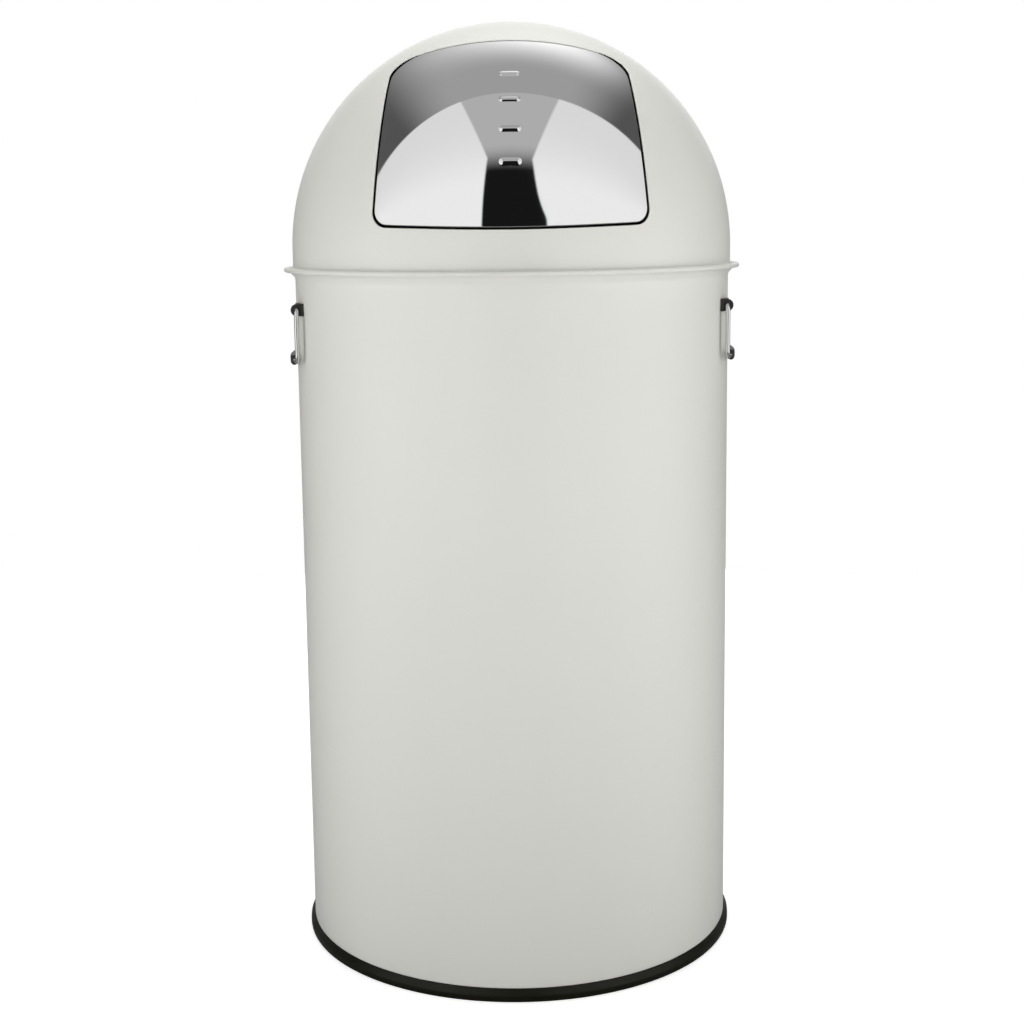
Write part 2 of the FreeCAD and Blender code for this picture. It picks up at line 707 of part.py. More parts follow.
def push_prism(name, side, top, low, ease="0"):
    # Outline of the push opening, drawn in from its edges and run through the dome.
    half = "opening_half - (%s)" % side
    high = "opening_top - (%s)" % top
    base = "-(opening_low + corner_low)"
    base_half = half + " + side_slope * (opening_top + opening_low + corner_low)"
    high_half = half + " + side_slope * (%s)" % top
    sides = extruded(name + "_sides", [
        ("-(%s)" % base_half, base), (base_half, base), (high_half, high), ("-(%s)" % high_half, high),
    ], "cutter_length", "cutter_start")
    bow = rod(name + "_bow", "bottom_bow - (%s)" % low, "cutter_length",
              y="bottom_bow - opening_low", z="cutter_start")
    blank = common(name + "_blank", [sides, bow])
    top_round, low_round = size("corner_top - (%s) + (%s)" % (side, ease)), size("corner_low - (%s)" % side)

    def corner_radius(edge):
        if edge.BoundBox.XLength > TOUCH or edge.BoundBox.YLength > TOUCH:
            return None
        return top_round if edge.BoundBox.YMin > 0 else low_round

    prism = rounded(name, blank, corner_radius)
    return place(prism, z="dome_centre", turn="flap_tilt")


def build_dome():
    blank = turned("dome_blank", [
        ("spigot_radius - dome_sheet", "spigot_low"),
        ("spigot_radius", "spigot_low"),
        ("spigot_radius", "shoulder_low"),
        ("neck_radius", "shoulder_top"),
        ("neck_radius", "neck_top"),
        ("dome_radius", "neck_top + neck_ease"),
        ("dome_radius", "dome_centre", "arc", "dome_radius"),
        ("0", "dome_centre + dome_radius"),
        ("0", "dome_centre + dome_inner", "arc", "-dome_inner"),
        ("dome_inner", "dome_centre"),
        ("dome_inner", "neck_top + neck_ease"),
        ("neck_radius - dome_sheet", "neck_top"),
        ("neck_radius - dome_sheet", "shoulder_top"),
        ("spigot_radius - dome_sheet", "shoulder_low"),
    ])
    return cut("lid_dome", blank, push_prism("opening", "0", "0", "0"))


def build_ribs():
    # Plain raised bars in a column down the middle of the flap.
    skin = cut("rib_skin", sphere("rib_crown", "dome_radius + rib_height"),
               sphere("rib_root", "dome_radius - flap_sheet / 2"))
    ease = "rib_width * 0.48"
    ribs = []
    for number in range(RIB_COUNT):
        middle = "rib_pitch * %s" % (number - (RIB_COUNT - 1) / 2)
        low, high = middle + " - rib_width / 2", middle + " + rib_width / 2"
        bar = extruded("rib_bar_%d" % number, [
            ("-rib_length / 2", low, "round", ease), ("rib_length / 2", low, "round", ease),
            ("rib_length / 2", high, "round", ease), ("-rib_length / 2", high, "round", ease),
        ], "cutter_length * 2")
        place(bar, z="dome_centre", turn="flap_tilt")
        ribs.append(common("rib_%d" % number, [bar, skin]))
    return ribs


def build_flap():
    # Panel flush with the dome, its sides and foot turned in.
    block_out = common("flap_block", [push_prism("flap_outline", "gap_side", "gap_top", "gap_low", "corner_gap"),
                                      sphere("flap_face", "dome_radius")])
    slab = cut("flap_slab", block_out, sphere("lip_face", "dome_radius - flap_lip"))
    centre, radius = Vector(0, 0, size("dome_centre")), size("dome_radius")
    ease = size("flap_round")
    slab = rounded("flap_rounded", slab,
                   lambda edge: ease if abs((edge_middle(edge) - centre).Length - radius) < TOUCH else None)
    pocket = common("flap_pocket", [
        push_prism("pocket_outline", "gap_side + flap_sheet", "-corner_top", "gap_low + flap_sheet"),
        sphere("pocket_face", "flap_inner"),
    ])
    return fuse("flap_panel", [cut("flap_shell", slab, pocket)] + build_ribs())


def build_leaf():
    # Strip under the flap's top edge that laps under the dome.
    zone = block("leaf_zone", ("-leaf_half", "opening_top - gap_top - leaf_hold", "cutter_start"),
                 ("leaf_half", "opening_top + leaf_lap", "cutter_start + cutter_length"))
    zone = place(group("leaf_tilted", [zone]), z="dome_centre", turn="flap_tilt")
    return cut("flap_hinge_leaf", common("leaf_blank", [zone, sphere("leaf_face", "leaf_outer")]),
               sphere("leaf_back", "leaf_inner"))


def at_pin(item):
    # Set an item down at the pin, its Z axis along the dome's radius there and Y up the slope.
    return place(item, y="pin_y", z="pin_z", turn="pin_polar")


def hinge_web(name, at, low_y, high_y):
    # Plate with an eye round the pin and a web beside it.
    near, far = at + " - hinge_plate / 2", at + " + hinge_plate / 2"
    eye = rod(name + "_eye", "eye_radius", "hinge_plate", near, along="X")
    web = block(name + "_web", (near, low_y, "-web_drop"), (far, high_y, "pin_depth"))
    return at_pin(fuse(name + "_plate", [eye, web]))


def build_hinge():
    bore = rod("pin_bore", "pin_radius + pin_play", "pin_half * 2", "-pin_half", "pin_y", "pin_z", "X")
    ear_face = sphere("ear_face", "leaf_inner - nest_gap")
    ear = cut("right_flap_ear", common("flap_ear_blank", [
        hinge_web("flap_ear", "flap_ear_at", "-web_length", "0"), ear_face]), bore)

    weld_face = sphere("weld_face", "dome_inner - nest_gap")
    plate = common("bracket_trimmed", [hinge_web("bracket", "bracket_at", "0", "bracket_length"), weld_face])
    zone = block("foot_zone", ("bracket_at - foot_width / 2", "foot_start", "-web_drop"),
                 ("bracket_at + foot_width / 2", "bracket_length", "pin_depth"))
    foot_blank = common("foot_blank", [at_pin(group("foot_tilted", [zone])), weld_face])
    foot = cut("bracket_foot", foot_blank, sphere("foot_back", "dome_inner - nest_gap - foot_sheet"))
    bracket = cut("right_hinge_bracket", fuse("bracket_blank", [plate, foot]), bore)

    pin = rod("hinge_pin", "pin_radius", "pin_half * 2", "-pin_half", "pin_y", "pin_z", "X")
    disc = rod("clip_disc", "clip_radius", "clip_sheet", "clip_at", "pin_y", "pin_z", "X")
    clip = cut("right_clip", disc, bore)
    clips = group("pin_clips", [clip, mirrored("left_clip", clip)])

    spring = build_spring()
    lid = [bracket, mirrored("left_hinge_bracket", bracket), pin, clips]
    flap = [ear, mirrored("left_flap_ear", ear), spring, mirrored("left_torsion_spring", spring)]
    return lid + flap


def coil_place(turned_by, total, span):
    # Distance along the pin after part of the turn; the pitch eases in and out over SPRING_EASE.
    steady = span / (total - SPRING_EASE)
    rise = min(turned_by, SPRING_EASE)
    fall = max(turned_by - (total - SPRING_EASE), 0)
    along = turned_by - rise + rise ** 2 / (2 * SPRING_EASE) - fall ** 2 / (2 * SPRING_EASE)
    slope = min(rise, SPRING_EASE - fall) / SPRING_EASE
    return steady * along, steady * slope


def build_spring():
    # Torsion spring on the pin: one leg bears under the leaf, the other points inwards.
    radius, lift = size("spring_radius"), math.radians(size("spring_lift"))
    first = math.pi / 2 + lift
    total = math.pi + 2 * math.pi * SPRING_TURNS - first
    start, span = size("spring_start"), size("spring_end - spring_start")

    def coil_point(turned_by):
        along, slope = coil_place(turned_by, total, span)
        angle = first + turned_by
        point = Vector(start + along, -radius * math.cos(angle), radius * math.sin(angle))
        return point, Vector(slope, radius * math.sin(angle), radius * math.cos(angle)).normalize()

    quarters = round(total / (math.pi / 2))
    knots = [coil_point(total * i / quarters) for i in range(quarters + 1)]
    edges = [line(knots[0][0] - knots[0][1] * size("spring_reach"), knots[0][0])]
    for (point, heading), (next_point, next_heading) in zip(knots, knots[1:]):
        edges += biarc(point, heading, next_point, next_heading)
    edges.append(line(knots[-1][0], knots[-1][0] + knots[-1][1] * size("spring_hook")))
    places = [(total - 2 * math.pi) * i / SPRING_SAMPLES for i in range(SPRING_SAMPLES + 1)]
    gaps = [(coil_point(by + 2 * math.pi)[0] - coil_point(by)[0]).Length for by in places]
    print("spring: least gap between turns %.2f mm" % (min(gaps) - size("spring_wire")))
    return at_pin(wire_piece("right_torsion_spring", edges, size("spring_wire")))


def build():
    fill_sheet()
    pieces = build_foot()
    pieces.append(build_shell())
    pieces += build_handle_mounts()
    pieces += build_handles()
    pieces += build_liner()
    pieces += [build_dome(), build_flap(), build_leaf()]
    pieces += build_hinge()
    return pieces


def write(pieces):
    doc.recompute()
    failed = [item.Label for item in doc.Objects if "Invalid" in item.State or "Error" in item.State]
    if failed:
        raise RuntimeError("failed objects: " + ", ".join(failed))
    for piece in pieces:
        if piece.Shape.isNull() or not piece.Shape.isValid():
            raise RuntimeError("bad shape: " + piece.Label)
    os.makedirs("parts", exist_ok=True)
    for piece in pieces:
        piece.Shape.exportStep("parts/%s.step" % piece.Label)
        print("%-22s %2d solids %9.0f mm3" % (piece.Label, len(piece.Shape.Solids), piece.Shape.Volume))


write(build())
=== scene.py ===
import bmesh
import bpy
import json
import math
from mathutils import Matrix, Vector


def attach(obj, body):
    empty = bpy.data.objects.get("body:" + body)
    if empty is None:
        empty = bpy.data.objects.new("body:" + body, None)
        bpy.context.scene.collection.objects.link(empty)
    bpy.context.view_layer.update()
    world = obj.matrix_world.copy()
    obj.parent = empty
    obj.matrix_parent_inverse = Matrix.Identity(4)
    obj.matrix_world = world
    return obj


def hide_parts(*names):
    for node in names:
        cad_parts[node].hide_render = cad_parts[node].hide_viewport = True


# Domed push-top waste can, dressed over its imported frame. Metres, Z up, the flap faces -Y.

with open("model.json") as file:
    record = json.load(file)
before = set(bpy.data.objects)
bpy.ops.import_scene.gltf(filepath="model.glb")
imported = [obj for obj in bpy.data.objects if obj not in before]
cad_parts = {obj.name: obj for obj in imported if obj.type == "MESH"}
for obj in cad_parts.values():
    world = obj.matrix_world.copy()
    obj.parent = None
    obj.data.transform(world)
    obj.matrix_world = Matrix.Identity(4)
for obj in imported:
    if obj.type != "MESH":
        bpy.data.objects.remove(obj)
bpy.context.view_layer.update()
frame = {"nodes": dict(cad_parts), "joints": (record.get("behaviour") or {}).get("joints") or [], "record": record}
scene = bpy.context.scene
joints = {joint["name"]: joint for joint in frame["joints"]}
mm = 0.001
weld, tiny = 1e-6, 1e-7  # tolerances of merges and cuts
white = (1, 1, 1, 1)
print("frame loaded:", len(frame["nodes"]), "nodes")


# node helpers

def addNode(tree, kind, **settings):
    node = tree.nodes.new(kind)
    for name, value in settings.items():
        setattr(node, name, value)
    return node


def plug(tree, value, socket):
    # a number or colour is set, anything else is linked
    if isinstance(value, bpy.types.NodeSocket):
        tree.links.new(value, socket)
    else:
        socket.default_value = value


def calc(tree, operation, *values):
    node = addNode(tree, "ShaderNodeMath", operation=operation)
    for value, socket in zip(values, node.inputs):
        plug(tree, value, socket)
    return node.outputs[0]


def ramp(tree, value, low, high, start=0.0, end=1.0):
    node = addNode(tree, "ShaderNodeMapRange", interpolation_type="SMOOTHSTEP")
    for item, socket in zip((value, low, high, start, end), node.inputs):
        plug(tree, item, socket)
    return node.outputs[0]


def mixColour(tree, factor, first, second):
    node = addNode(tree, "ShaderNodeMix", data_type="RGBA")
    plug(tree, factor, node.inputs[0])
    plug(tree, first, node.inputs[6])
    plug(tree, second, node.inputs[7])
    return node.outputs[2]


def noise(tree, vector, scale, detail=3.0, roughness=0.5):
    node = addNode(tree, "ShaderNodeTexNoise")
    plug(tree, vector, node.inputs["Vector"])
    plug(tree, scale, node.inputs["Scale"])
    plug(tree, detail, node.inputs["Detail"])
    plug(tree, roughness, node.inputs["Roughness"])
    return node.outputs["Fac"]


def objectPlace(tree):
    return addNode(tree, "ShaderNodeTexCoord").outputs["Object"]


def stretched(tree, place, scale):
    node = addNode(tree, "ShaderNodeMapping")
    node.inputs["Scale"].default_value = scale
    tree.links.new(place, node.inputs["Vector"])
    return node.outputs[0]


def newGroup(name, inputs, outputs):
    # a group of plain numbers, with a start value for each input
    group = bpy.data.node_groups.new(name, "ShaderNodeTree")
    kind = "NodeSocketFloat"
    for label, value in inputs.items():
        group.interface.new_socket(label, in_out="INPUT", socket_type=kind).default_value = value
    for label in outputs:
        group.interface.new_socket(label, in_out="OUTPUT", socket_type=kind)
    return group, group.nodes.new("NodeGroupInput"), group.nodes.new("NodeGroupOutput")


def useGroup(tree, group, **values):
    node = addNode(tree, "ShaderNodeGroup", node_tree=group)
    for name, value in values.items():
        plug(tree, value, node.inputs[name])
    return node.outputs


# effects that several finishes share

def makeGrainGroup():
    # fine surface grain: a height for bump and a slow mottle for colour and gloss
    group, given, result = newGroup("fineGrain", {"Scale": 900.0, "Mottle": 9.0}, ["Height", "Patch"])
    place = objectPlace(group)
    height = noise(group, place, given.outputs["Scale"], detail=2.0)
    patch = noise(group, place, given.outputs["Mottle"], detail=4.0, roughness=0.6)
    group.links.new(height, result.inputs["Height"])
    group.links.new(patch, result.inputs["Patch"])
    return group


rub = {"stretch": (1.0, 1.0, 14.0), "lines": (0.58, 0.74), "patchScale": 6.0, "patches": (0.45, 0.7)}


def makeScuffGroup():
    # thin rubbed lines, mostly level, as handling leaves them
    group, given, result = newGroup("rubMarks", {"Scale": 30.0, "Amount": 0.2}, ["Mask"])
    place = objectPlace(group)
    level = stretched(group, place, rub["stretch"])
    streaks = noise(group, level, given.outputs["Scale"], detail=6.0, roughness=0.65)
    patches = noise(group, place, rub["patchScale"], detail=2.0)
    lines = ramp(group, streaks, *rub["lines"])
    where = ramp(group, patches, *rub["patches"])
    mask = calc(group, "MULTIPLY", calc(group, "MULTIPLY", lines, where), given.outputs["Amount"])
    group.links.new(mask, result.inputs["Mask"])
    return group


grainGroup = makeGrainGroup()
scuffGroup = makeScuffGroup()


# finishes

def newFinish(name):
    material = bpy.data.materials.new(name)
    material.use_nodes = True
    tree = material.node_tree
    return material, tree, tree.nodes["Principled BSDF"]


def dimmed(colour, share):
    return tuple(channel * share for channel in colour[:3]) + (1,)


def addBump(tree, shader, height, strength, distance):
    bump = addNode(tree, "ShaderNodeBump")
    bump.inputs["Strength"].default_value = strength
    bump.inputs["Distance"].default_value = distance
    tree.links.new(height, bump.inputs["Height"])
    tree.links.new(bump.outputs[0], shader.inputs["Normal"])


enamel = {"light": (0.80, 0.80, 0.755, 1), "dark": (0.775, 0.775, 0.728, 1), "gloss": (0.31, 0.38),
          "patches": (0.3, 0.7), "polish": 0.2, "ior": 1.53, "peel": 0.06, "peelDepth": 0.4 * mm}


def makeEnamel():
    material, tree, shader = newFinish("creamEnamel")
    grain = useGroup(tree, grainGroup, Scale=1400.0, Mottle=7.0)
    rubs = useGroup(tree, scuffGroup, Scale=24.0, Amount=0.35)
    shader.inputs["IOR"].default_value = enamel["ior"]
    paint = mixColour(tree, grain["Patch"], enamel["light"], enamel["dark"])
    tree.links.new(paint, shader.inputs["Base Color"])
    gloss = ramp(tree, grain["Patch"], *enamel["patches"], *enamel["gloss"])
    polished = calc(tree, "MULTIPLY", rubs["Mask"], enamel["polish"])
    tree.links.new(calc(tree, "SUBTRACT", gloss, polished), shader.inputs["Roughness"])
    addBump(tree, shader, grain["Height"], enamel["peel"], enamel["peelDepth"])
    return material


chrome = {"worn": 0.94, "patches": (0.35, 0.75), "scratch": 0.06, "waveDepth": 0.4 * mm}


def makeChrome(name, colour, gloss, wave):
    material, tree, shader = newFinish(name)
    grain = useGroup(tree, grainGroup, Scale=22.0, Mottle=12.0)
    rubs = useGroup(tree, scuffGroup, Scale=60.0, Amount=0.5)
    shader.inputs["Metallic"].default_value = 1.0
    plate = mixColour(tree, rubs["Mask"], colour, dimmed(colour, chrome["worn"]))
    tree.links.new(plate, shader.inputs["Base Color"])
    haze = ramp(tree, grain["Patch"], *chrome["patches"], *gloss)
    scratched = calc(tree, "MULTIPLY", rubs["Mask"], chrome["scratch"])
    tree.links.new(calc(tree, "ADD", haze, scratched), shader.inputs["Roughness"])
    addBump(tree, shader, grain["Height"], wave, chrome["waveDepth"])
    return material


plastic = {"dark": 0.7, "patches": (0.3, 0.7), "grain": 0.25, "grainDepth": 0.2 * mm}


def makePlastic(name, colour, worn, gloss, grainScale, sheen=0.5):
    material, tree, shader = newFinish(name)
    shader.inputs["Specular IOR Level"].default_value = sheen
    grain = useGroup(tree, grainGroup, Scale=grainScale, Mottle=30.0)
    rubs = useGroup(tree, scuffGroup, Scale=45.0, Amount=0.6)
    base = mixColour(tree, grain["Patch"], colour, dimmed(colour, plastic["dark"]))
    tree.links.new(mixColour(tree, rubs["Mask"], base, worn), shader.inputs["Base Color"])
    tree.links.new(ramp(tree, grain["Patch"], *plastic["patches"], *gloss), shader.inputs["Roughness"])
    addBump(tree, shader, grain["Height"], plastic["grain"], plastic["grainDepth"])
    return material


zinc = {"light": (0.66, 0.68, 0.69, 1), "dark": (0.50, 0.52, 0.53, 1), "worn": (0.42, 0.43, 0.43, 1),
        "crystals": 90.0, "drift": 60.0, "driftSize": 6 * mm, "gloss": (0.32, 0.5), "facet": 0.05,
        "facetDepth": 0.3 * mm}


def makeGalvanised():
    # zinc crystals of a hot dipped sheet
    material, tree, shader = newFinish("galvanisedSheet")
    place = objectPlace(tree)
    bent = addNode(tree, "ShaderNodeVectorMath", operation="ADD")
    drift = addNode(tree, "ShaderNodeTexNoise")
    drift.inputs["Scale"].default_value = zinc["drift"]
    tree.links.new(place, drift.inputs["Vector"])
    small = addNode(tree, "ShaderNodeVectorMath", operation="SCALE")
    small.inputs["Scale"].default_value = zinc["driftSize"]
    tree.links.new(drift.outputs["Color"], small.inputs[0])
    tree.links.new(place, bent.inputs[0])
    tree.links.new(small.outputs[0], bent.inputs[1])
    spangle = addNode(tree, "ShaderNodeTexVoronoi")
    spangle.inputs["Scale"].default_value = zinc["crystals"]
    tree.links.new(bent.outputs[0], spangle.inputs["Vector"])
    tone = addNode(tree, "ShaderNodeSeparateColor")
    tree.links.new(spangle.outputs["Color"], tone.inputs[0])
    rubs = useGroup(tree, scuffGroup, Scale=36.0, Amount=0.8)
    sheet = mixColour(tree, tone.outputs[0], zinc["dark"], zinc["light"])
    tree.links.new(mixColour(tree, rubs["Mask"], sheet, zinc["worn"]), shader.inputs["Base Color"])
    shader.inputs["Metallic"].default_value = 1.0
    tree.links.new(ramp(tree, tone.outputs[1], 0.0, 1.0, *zinc["gloss"]), shader.inputs["Roughness"])
    addBump(tree, shader, tone.outputs[0], zinc["facet"], zinc["facetDepth"])
    return material


steel = {"dark": 0.75, "streaks": 500.0, "patches": (0.3, 0.7), "brushed": 0.08, "brushedDepth": 0.2 * mm}


def makeSteel(name, colour, gloss, brush):
    material, tree, shader = newFinish(name)
    brushed = stretched(tree, objectPlace(tree), brush)
    streaks = noise(tree, brushed, steel["streaks"], detail=5.0, roughness=0.6)
    tone = mixColour(tree, streaks, colour, dimmed(colour, steel["dark"]))
    tree.links.new(tone, shader.inputs["Base Color"])
    shader.inputs["Metallic"].default_value = 1.0
    tree.links.new(ramp(tree, streaks, *steel["patches"], *gloss), shader.inputs["Roughness"])
    addBump(tree, shader, streaks, steel["brushed"], steel["brushedDepth"])
    return material


chromeTone = (0.62, 0.625, 0.62, 1)
finishes = {
    "body_paint": makeEnamel(),
    "flap_chrome": makeChrome("flapChrome", chromeTone, (0.02, 0.05), 0.004),
    "wire_chrome": makeChrome("wireChrome", chromeTone, (0.08, 0.16), 0.05),
    "black_plastic": makePlastic("blackPlastic", (0.016, 0.016, 0.015, 1), (0.05, 0.05, 0.045, 1),
                                 (0.38, 0.5), 1500.0),
    "foot_plastic": makePlastic("footPlastic", (0.005, 0.005, 0.001, 1), (0.016, 0.016, 0.008, 1),
                                (0.36, 0.5), 1100.0, 0.2),
    "galvanised": makeGalvanised(),
    "zinc_steel": makeSteel("zincSteel", (0.62, 0.63, 0.64, 1), (0.28, 0.42), (1, 1, 0.2)),
    "spring_steel": makeSteel("springSteel", (0.36, 0.36, 0.37, 1), (0.3, 0.45), (0.3, 1, 1)),
}
print("finishes made:", len(finishes))


# mesh helpers

def addProfile(bm, points):
    # closed outline of radius and height in the XZ plane
    verts = [bm.verts.new((r, 0, z)) for r, z in points]
    return verts + [bm.edges.new((a, b)) for a, b in zip(verts, verts[1:] + verts[:1])]


def turn(bm, points, steps):
    # turn an outline about Z, merging the seam and any pole
    bmesh.ops.spin(bm, geom=addProfile(bm, points), cent=(0, 0, 0), axis=(0, 0, 1), dvec=(0, 0, 0),
                   angle=2 * math.pi, steps=steps, use_merge=True)
    bmesh.ops.remove_doubles(bm, verts=bm.verts, dist=weld)
    bmesh.ops.dissolve_degenerate(bm, edges=bm.edges, dist=tiny)
    bmesh.ops.recalc_face_normals(bm, faces=bm.faces)


def arc(centre, radius, start, end, count):
    # points of radius and height along an arc, angles in degrees from +R towards +Z
    turns = [math.radians(start + (end - start) * i / count) for i in range(count + 1)]
    return [(centre[0] + radius * math.cos(a), centre[1] + radius * math.sin(a)) for a in turns]


def addObject(name, bm, material):
    mesh = bpy.data.meshes.new(name)
    bm.to_mesh(mesh)
    bm.free()
    mesh.materials.append(material)
    made = bpy.data.objects.new(name, mesh)
    scene.collection.objects.link(made)
    return made


def finishPiece(name, bm, body, slotName, replaced, sharp=50):
    # edges that bend by more degrees than sharp stay hard
    piece = addObject(name, bm, finishes[slotName])
    piece.data.shade_smooth()
    piece.data.set_sharp_from_angle(angle=math.radians(sharp))
    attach(piece, body)
    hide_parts(*replaced)
    print("piece", name, len(piece.data.polygons), "faces")
    return piece


# body shell

shell = {"wall": 170 * mm, "sheet": 0.8 * mm, "foot": 3 * mm, "flareLow": 530 * mm, "flareOut": 4 * mm,
         "rimLow": 534.4 * mm, "rimTop": 537.9 * mm, "rimOuter": 178.6 * mm, "ease": 2.2 * mm,
         "beadSteps": 10, "steps": 256}


def makeShell():
    # here and below, small steps given in place ease the bends of an outline
    s = shell
    bead = (s["rimTop"] - s["rimLow"]) / 2
    mouth = s["wall"] + s["flareOut"]
    inner = s["wall"] - s["sheet"]
    points = [(inner, s["foot"]), (s["wall"], s["foot"]), (s["wall"], s["flareLow"] - s["ease"]),
              (s["wall"] + 0.25 * mm, s["flareLow"]), (mouth - 0.9 * mm, s["rimLow"] - 1.2 * mm),
              (mouth, s["rimLow"] - 0.1 * mm), (mouth + 0.7 * mm, s["rimLow"])]
    points += arc((s["rimOuter"] - bead, s["rimLow"] + bead), bead, -90, 90, s["beadSteps"])
    points += [(mouth + 0.6 * mm, s["rimTop"]), (mouth - 0.1 * mm, s["rimTop"] - 0.35 * mm),
               (mouth - s["sheet"], s["rimTop"] - 1.3 * mm), (mouth - s["sheet"], s["rimLow"]),
               (mouth - 0.9 * mm - s["sheet"], s["rimLow"] - 1.2 * mm), (inner + 0.25 * mm, s["flareLow"]),
               (inner, s["flareLow"] - s["ease"])]
    bm = bmesh.new()
    turn(bm, points, s["steps"])
    finishPiece("bodyShell", bm, "can", "body_paint", ["body_shell"])


makeShell()


# foot ring

foot = {"inner": 165.6 * mm, "channel": 168 * mm, "wall": 170.1 * mm, "outer": 173.5 * mm, "height": 10 * mm,
        "floor": 3 * mm, "innerHeight": 8 * mm, "belly": 4 * mm, "round": 1.6 * mm, "roundSteps": 6,
        "steps": 256, "sharp": 45}


def makeFoot():
    f = foot
    lip = f["wall"] + 0.9 * mm
    low = arc((f["outer"] - f["round"], f["round"]), f["round"], -90, 0, f["roundSteps"])
    points = [(f["inner"] + 0.5 * mm, 0)] + low
    points += [(f["outer"], f["belly"]), (f["outer"] - 0.12 * mm, f["belly"] + 1.6 * mm),
               (lip + 0.55 * mm, f["height"] - 2.4 * mm), (lip + 0.1 * mm, f["height"] - 0.5 * mm),
               (lip - 0.15 * mm, f["height"] - 0.12 * mm), (lip - 0.4 * mm, f["height"]),
               (f["wall"], f["height"]), (f["wall"], f["floor"]), (f["channel"], f["floor"]),
               (f["channel"], f["innerHeight"] - 0.4 * mm), (f["channel"] - 0.4 * mm, f["innerHeight"]),
               (f["inner"] + 0.4 * mm, f["innerHeight"]), (f["inner"], f["innerHeight"] - 0.4 * mm),
               (f["inner"], 0.5 * mm)]
    bm = bmesh.new()
    turn(bm, points, f["steps"])
    finishPiece("footRing", bm, "can", "foot_plastic", ["base_ring"], f["sharp"])


makeFoot()


# push opening, drawn in a plane tilted back and run through the dome

push = {"tilt": math.radians(56.4), "centre": Vector((0, 0, 551.5 * mm)), "radius": 171.5 * mm,
        "top": 80 * mm, "low": 82 * mm, "half": 86.5 * mm, "slope": 0.088, "bow": 262 * mm,
        "cornerTop": 20 * mm, "cornerLow": 14 * mm, "bowPoints": 18, "bowShare": 0.84, "cornerSteps": 9,
        "cornerTries": 30, "near": 0.4 * mm}
acrossAxis = Vector((1, 0, 0))
upSlope = Vector((0, math.cos(push["tilt"]), math.sin(push["tilt"])))
outAxis = Vector((0, -math.sin(push["tilt"]), math.cos(push["tilt"])))


def onPlane(u, v, w=0.0):
    return push["centre"] + acrossAxis * u + upSlope * v + outAxis * w


def pushOutline(side, top, low, ease=0.0):
    # corners first, then rounded with a vertex bevel; points run once round
    p = push
    bow, bowCentre = p["bow"] - low, p["bow"] - p["low"]

    def halfAt(v):
        return p["half"] - side + p["slope"] * (p["top"] - v)

    high = p["top"] - top
    corner = -p["low"]
    for _ in range(p["cornerTries"]):  # settles on where the leaning side meets the bow
        corner = bowCentre - math.sqrt(bow ** 2 - halfAt(corner) ** 2)
    reach = halfAt(corner)
    flat = p["bowShare"] * reach
    points = [(halfAt(high), high), (-halfAt(high), high), (-reach, corner)]
    for i in range(p["bowPoints"] + 1):
        u = -flat + 2 * flat * i / p["bowPoints"]
        points.append((u, bowCentre - math.sqrt(bow ** 2 - u ** 2)))
    points.append((reach, corner))
    bm = bmesh.new()
    verts = [bm.verts.new((u, v, 0)) for u, v in points]
    bm.faces.new(verts)
    topPair, lowPair = (verts[0], verts[1]), (verts[2], verts[-1])
    for pair, radius in ((topPair, p["cornerTop"] + ease), (lowPair, p["cornerLow"])):
        ahead = (pair[0].link_edges[0].other_vert(pair[0]).co - pair[0].co).normalized()
        back = (pair[0].link_edges[1].other_vert(pair[0]).co - pair[0].co).normalized()
        offset = (radius - side) / math.tan(ahead.angle(back) / 2)
        bmesh.ops.bevel(bm, geom=list(pair), offset=offset, offset_type="OFFSET", segments=p["cornerSteps"],
                        profile=0.5, affect="VERTICES", material=-1)
    face = max(bm.faces, key=lambda f: f.calc_area())
    found = [vert.co.xy.copy() for vert in face.verts]
    bm.free()
    return found


def outlinePlanes(points):
    # one cutting plane for each edge, with its normal pointing out of the outline
    middle = sum(points, Vector((0, 0))) / len(points)
    planes = []
    for a, b in zip(points, points[1:] + points[:1]):
        along = (b - a).normalized()
        out = Vector((along.y, -along.x))
        if out.dot(a - middle) < 0:
            out = -out
        planes.append((onPlane(*a), acrossAxis * out.x + upSlope * out.y))
    return planes


def openLoop(bm, near):
    # open edges whose points lie about this far from the dome's centre
    return [edge for edge in bm.edges if edge.is_boundary and
            all(abs((vert.co - push["centre"]).length - near) < push["near"] for vert in edge.verts)]


def outwardAt(edges):
    # for each point of an open edge loop, the way out of the sheet and along its surface
    ways = {}
    for edge in edges:
        face = edge.link_faces[0]
        a, b = edge.verts
        along = (b.co - a.co).normalized()
        out = (a.co + b.co) / 2 - face.calc_center_median()
        out -= along * out.dot(along)
        for vert in edge.verts:
            ways[vert] = ways.get(vert, Vector()) + out.normalized()
    return {vert: way.normalized() for vert, way in ways.items()}


def rollEdge(bm, edges, radius, steps, inward):
    # roll an open edge over through a quarter turn; returns the new open edges
    ways = outwardAt(edges)
    start = {vert: (vert.co.copy(), way, inward(vert.co)) for vert, way in ways.items()}
    for i in range(1, steps + 1):
        a = math.pi / 2 * i / steps
        made = bmesh.ops.extrude_edge_only(bm, edges=edges)["geom"]
        edges = [item for item in made if isinstance(item, bmesh.types.BMEdge)
                 and all(vert not in start for vert in item.verts)]
        moved = {}
        for vert in {v for edge in edges for v in edge.verts}:
            source = next(edge.other_vert(vert) for edge in vert.link_edges if edge.other_vert(vert) in start)
            origin, way, depth = start[source]
            vert.co = origin + way * radius * math.sin(a) + depth * radius * (1 - math.cos(a))
            moved[vert] = start[source]
        start = moved
    return edges


def towardsCentre(point):
    return (push["centre"] - point).normalized()


# lid dome

